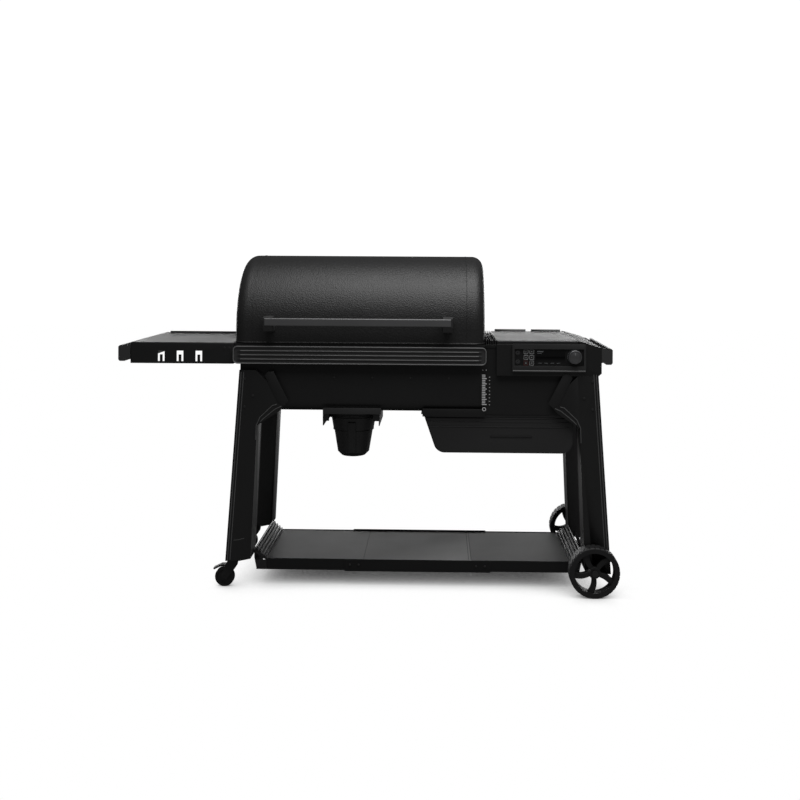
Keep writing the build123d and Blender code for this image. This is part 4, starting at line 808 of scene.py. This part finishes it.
def deck_seam_shade():
    """Painted shade: near-black lines for the shaded gaps where the bottom shelf's three decks overlap, and
    near-black bars on the faces of its rear lips, which stand in shadow.
    """
    left, middle, right = (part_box(f"bottom_shelf_{side}") for side in ("left", "middle", "right"))
    bm = bmesh.new()
    for x, side in ((left[1].x, "left"), (right[0].x, "right"), (right[0].x - 9 * MM, "middle")):
        beside = x + (-4 * MM if side == "left" else 4 * MM)
        z = surface_under(f"bottom_shelf_{side}", [(beside, 0.0)], 0.5)[0].z
        add_bead(bm, [(x, left[0].y + SEAM_INSET, z), (x, left[1].y - SEAM_INSET, z)], 0.9 * MM)
    for (low, high), rise in ((left, 1.5), (middle, 4.0), (right, 1.5)):
        add_bar(bm, (low.x, high.y - 2.5 * MM, high.z - 6 * MM), (high.x, high.y, high.z + rise * MM),
                0.8 * MM)
    piece_from(bm, "deck_seam_shade", PAINTED_SHADE_BLACK, "root")


SPOKES = 5
SPOKE_TURN = 43  # degrees to the first spoke
SPOKE_START = 12  # the rest in millimetres
SPOKE_LENGTH = 58
SPOKE_HALF_WIDTH = 8  # at the hub
SPOKE_SPREAD = 3.5  # how much wider it is at the rim
SPOKE_BOW = 6.0
SPOKE_STEPS = 5


def wheel_web(node):
    """Widens the wheel's curved spokes and its hub, as the moulding's flanges do."""
    low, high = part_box(node)
    centre_x, centre_z = (low.x + high.x) / 2, (low.z + high.z) / 2
    bm = bmesh.new()
    for spoke in range(SPOKES):
        turn = math.radians(SPOKE_TURN + 360 / SPOKES * spoke)
        outline = []
        for side in (-1, 1):
            steps = range(SPOKE_STEPS + 1)
            for step in steps if side < 0 else reversed(steps):
                share = step / SPOKE_STEPS
                along = SPOKE_START + SPOKE_LENGTH * share
                bow = SPOKE_BOW * (1 - (2 * share - 1) ** 2)
                across = side * (SPOKE_HALF_WIDTH + SPOKE_SPREAD * share) + bow
                outline.append((centre_x + (along * math.cos(turn) - across * math.sin(turn)) * MM,
                                centre_z + (along * math.sin(turn) + across * math.cos(turn)) * MM))
        add_plate(bm, outline, low.y + 9.5 * MM, low.y + 14 * MM, 1.2 * MM)
    add_disc(bm, (centre_x, centre_z), 21 * MM, low.y + 5.5 * MM, low.y + 14 * MM, 2.0 * MM)
    piece_from(bm, node + "_web", FINISHES["wheel_black"], body_of[node])


SHOULDER_RIBS = 4
SHOULDER_LEFT = 432 * MM
SHOULDER_PITCH = 8 * MM
SHOULDER_FRONT = -240 * MM
SHOULDER_REAR = -70 * MM


def hopper_highlights():
    """Painted highlights: a pale bead along the bezel's lower lip and pale ribs on the casing's shoulder
    beside the lid, standing in for the light they catch.
    """
    bezel_low, bezel_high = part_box("control_bezel")
    bm = bmesh.new()
    add_bead(bm, [(bezel_low.x + 2 * MM, bezel_low.y + 0.5 * MM, bezel_low.z + 6 * MM),
                  (bezel_high.x - 2 * MM, bezel_low.y + 0.5 * MM, bezel_low.z + 6 * MM)], 2.6 * MM)
    for number in range(SHOULDER_RIBS):
        x = SHOULDER_LEFT + number * SHOULDER_PITCH
        ends = surface_under("hopper_casing", [(x, SHOULDER_FRONT), (x, SHOULDER_REAR)], 1.5)
        add_bead(bm, [(end.x, end.y, end.z + 0.5 * MM) for end in ends], 2.0 * MM)
    # Painted highlight: both are in the paler edge paint.
    piece_from(bm, "hopper_highlights", EDGE_HIGHLIGHT_PAINT, "root")


rail_highlights()
deck_seam_shade()
hopper_highlights()
wheel_web("wheel_front")
wheel_web("wheel_rear")

# ---- floor, light and camera ----

FLOOR_SIZE = 24.0
FLOOR_GREY = 0.22  # how pale the metal sees the floor
SHADOW_REACH = 0.35
SHADOW_GAIN = 1.35
WORLD_WHITE = 1.05  # how bright the eye sees the world
WORLD_GLOW = 0.075  # and how bright the metal does
TOP_POWER = 86.0
TOP_PLACE = (0.7, -1.25, 3.3)
TOP_TARGET = (0.7, -1.25, 0.0)
TOP_SIZE = (2.9, 2.6)
BACK_POWER = 125.0
BACK_PLACE = (0.0, 5.0, 0.95)
BACK_TARGET = (0.0, 0.0, 0.95)
BACK_SIZE = (9.0, 0.95)
CAMERA_PLACE = (0.25775, -3.512, 1.205)
CAMERA_TURN = 0.0183  # radians to the left
CAMERA_ROLL = 0.006
SENSOR_WIDTH = 36.0
LENS = 40.8
SHIFT = (-0.029, -0.18)


def floor():
    """A pale floor that glows white to the eye, with a painted shadow from ambient occlusion where something
    stands close over it; to other rays it is plain grey.
    """
    bm = bmesh.new()
    bmesh.ops.create_grid(bm, x_segments=1, y_segments=1, size=FLOOR_SIZE / 2)
    mesh = bpy.data.meshes.new("floor")
    bm.to_mesh(mesh)
    bm.free()
    ground = bpy.data.objects.new("floor", mesh)
    bpy.context.scene.collection.objects.link(ground)
    shadowed_floor = Finish("floor_painted_shadow", (FLOOR_GREY, FLOOR_GREY, FLOOR_GREY), 0.9, specular=0.1)
    shadowed_floor.material.cycles.emission_sampling = "NONE"
    # Painted shadow: the floor's glow is dimmed by ambient occlusion under and near the grill.
    open_sky = shadowed_floor.add("ShaderNodeAmbientOcclusion", {"samples": 8}, {"Distance": SHADOW_REACH}, output=1)
    glow = shadowed_floor.add("ShaderNodeEmission", {}, {"Strength": (open_sky * SHADOW_GAIN).clipped()})
    seen = shadowed_floor.add("ShaderNodeLightPath")
    both = shadowed_floor.add("ShaderNodeMixShader", {}, {0: seen, 2: glow})
    shadowed_floor.tree.links.new(shadowed_floor.shader.outputs["BSDF"], both.socket.node.inputs[1])
    shadowed_floor.tree.links.new(both.socket, shadowed_floor.tree.nodes["Material Output"].inputs["Surface"])
    mesh.materials.append(shadowed_floor.material)


def softbox(name, place, target, size, power):
    """A rectangular lamp that the camera doesn't see."""
    light = bpy.data.lights.new(name, "AREA")
    light.shape = "RECTANGLE"
    light.size, light.size_y = size
    light.energy = power
    light.spread = math.pi
    lamp = bpy.data.objects.new(name, light)
    lamp.location = place
    lamp.visible_camera = False
    lamp.rotation_euler = (Vector(target) - Vector(place)).to_track_quat("-Z", "Y").to_euler()
    bpy.context.scene.collection.objects.link(lamp)


def studio():
    """White to the eye all round, but dim to the metal; a wide softbox overhead and a white wall behind."""
    world = bpy.data.worlds.new("studio")
    world.use_nodes = True
    tree = world.node_tree
    background = tree.nodes["Background"]
    path = tree.nodes.new("ShaderNodeLightPath")
    seen = tree.nodes.new("ShaderNodeMapRange")
    seen.inputs["To Min"].default_value = WORLD_GLOW
    seen.inputs["To Max"].default_value = WORLD_WHITE
    tree.links.new(path.outputs["Is Camera Ray"], seen.inputs["Value"])
    tree.links.new(seen.outputs["Result"], background.inputs["Strength"])
    background.inputs["Color"].default_value = (1.0, 1.0, 1.0, 1.0)
    bpy.context.scene.world = world
    softbox("softbox_top", TOP_PLACE, TOP_TARGET, TOP_SIZE, TOP_POWER)
    softbox("softbox_back", BACK_PLACE, BACK_TARGET, BACK_SIZE, BACK_POWER)
    view = bpy.context.scene.view_settings
    view.view_transform = "Standard"
    view.look = "None"


def camera():
    """A long lens in front and a little to the right, level, at the height of the lid's top."""
    data = bpy.data.cameras.new("camera")
    data.sensor_width = SENSOR_WIDTH
    data.lens = LENS
    data.shift_x, data.shift_y = SHIFT
    view = bpy.data.objects.new("camera", data)
    view.location = CAMERA_PLACE
    level = Matrix.Rotation(math.pi / 2, 4, "X")
    turn = Matrix.Rotation(CAMERA_TURN, 4, "Z") @ level @ Matrix.Rotation(CAMERA_ROLL, 4, "Z")
    view.rotation_euler = turn.to_euler()
    bpy.context.scene.collection.objects.link(view)
    bpy.context.scene.camera = view


floor()
studio()
camera()
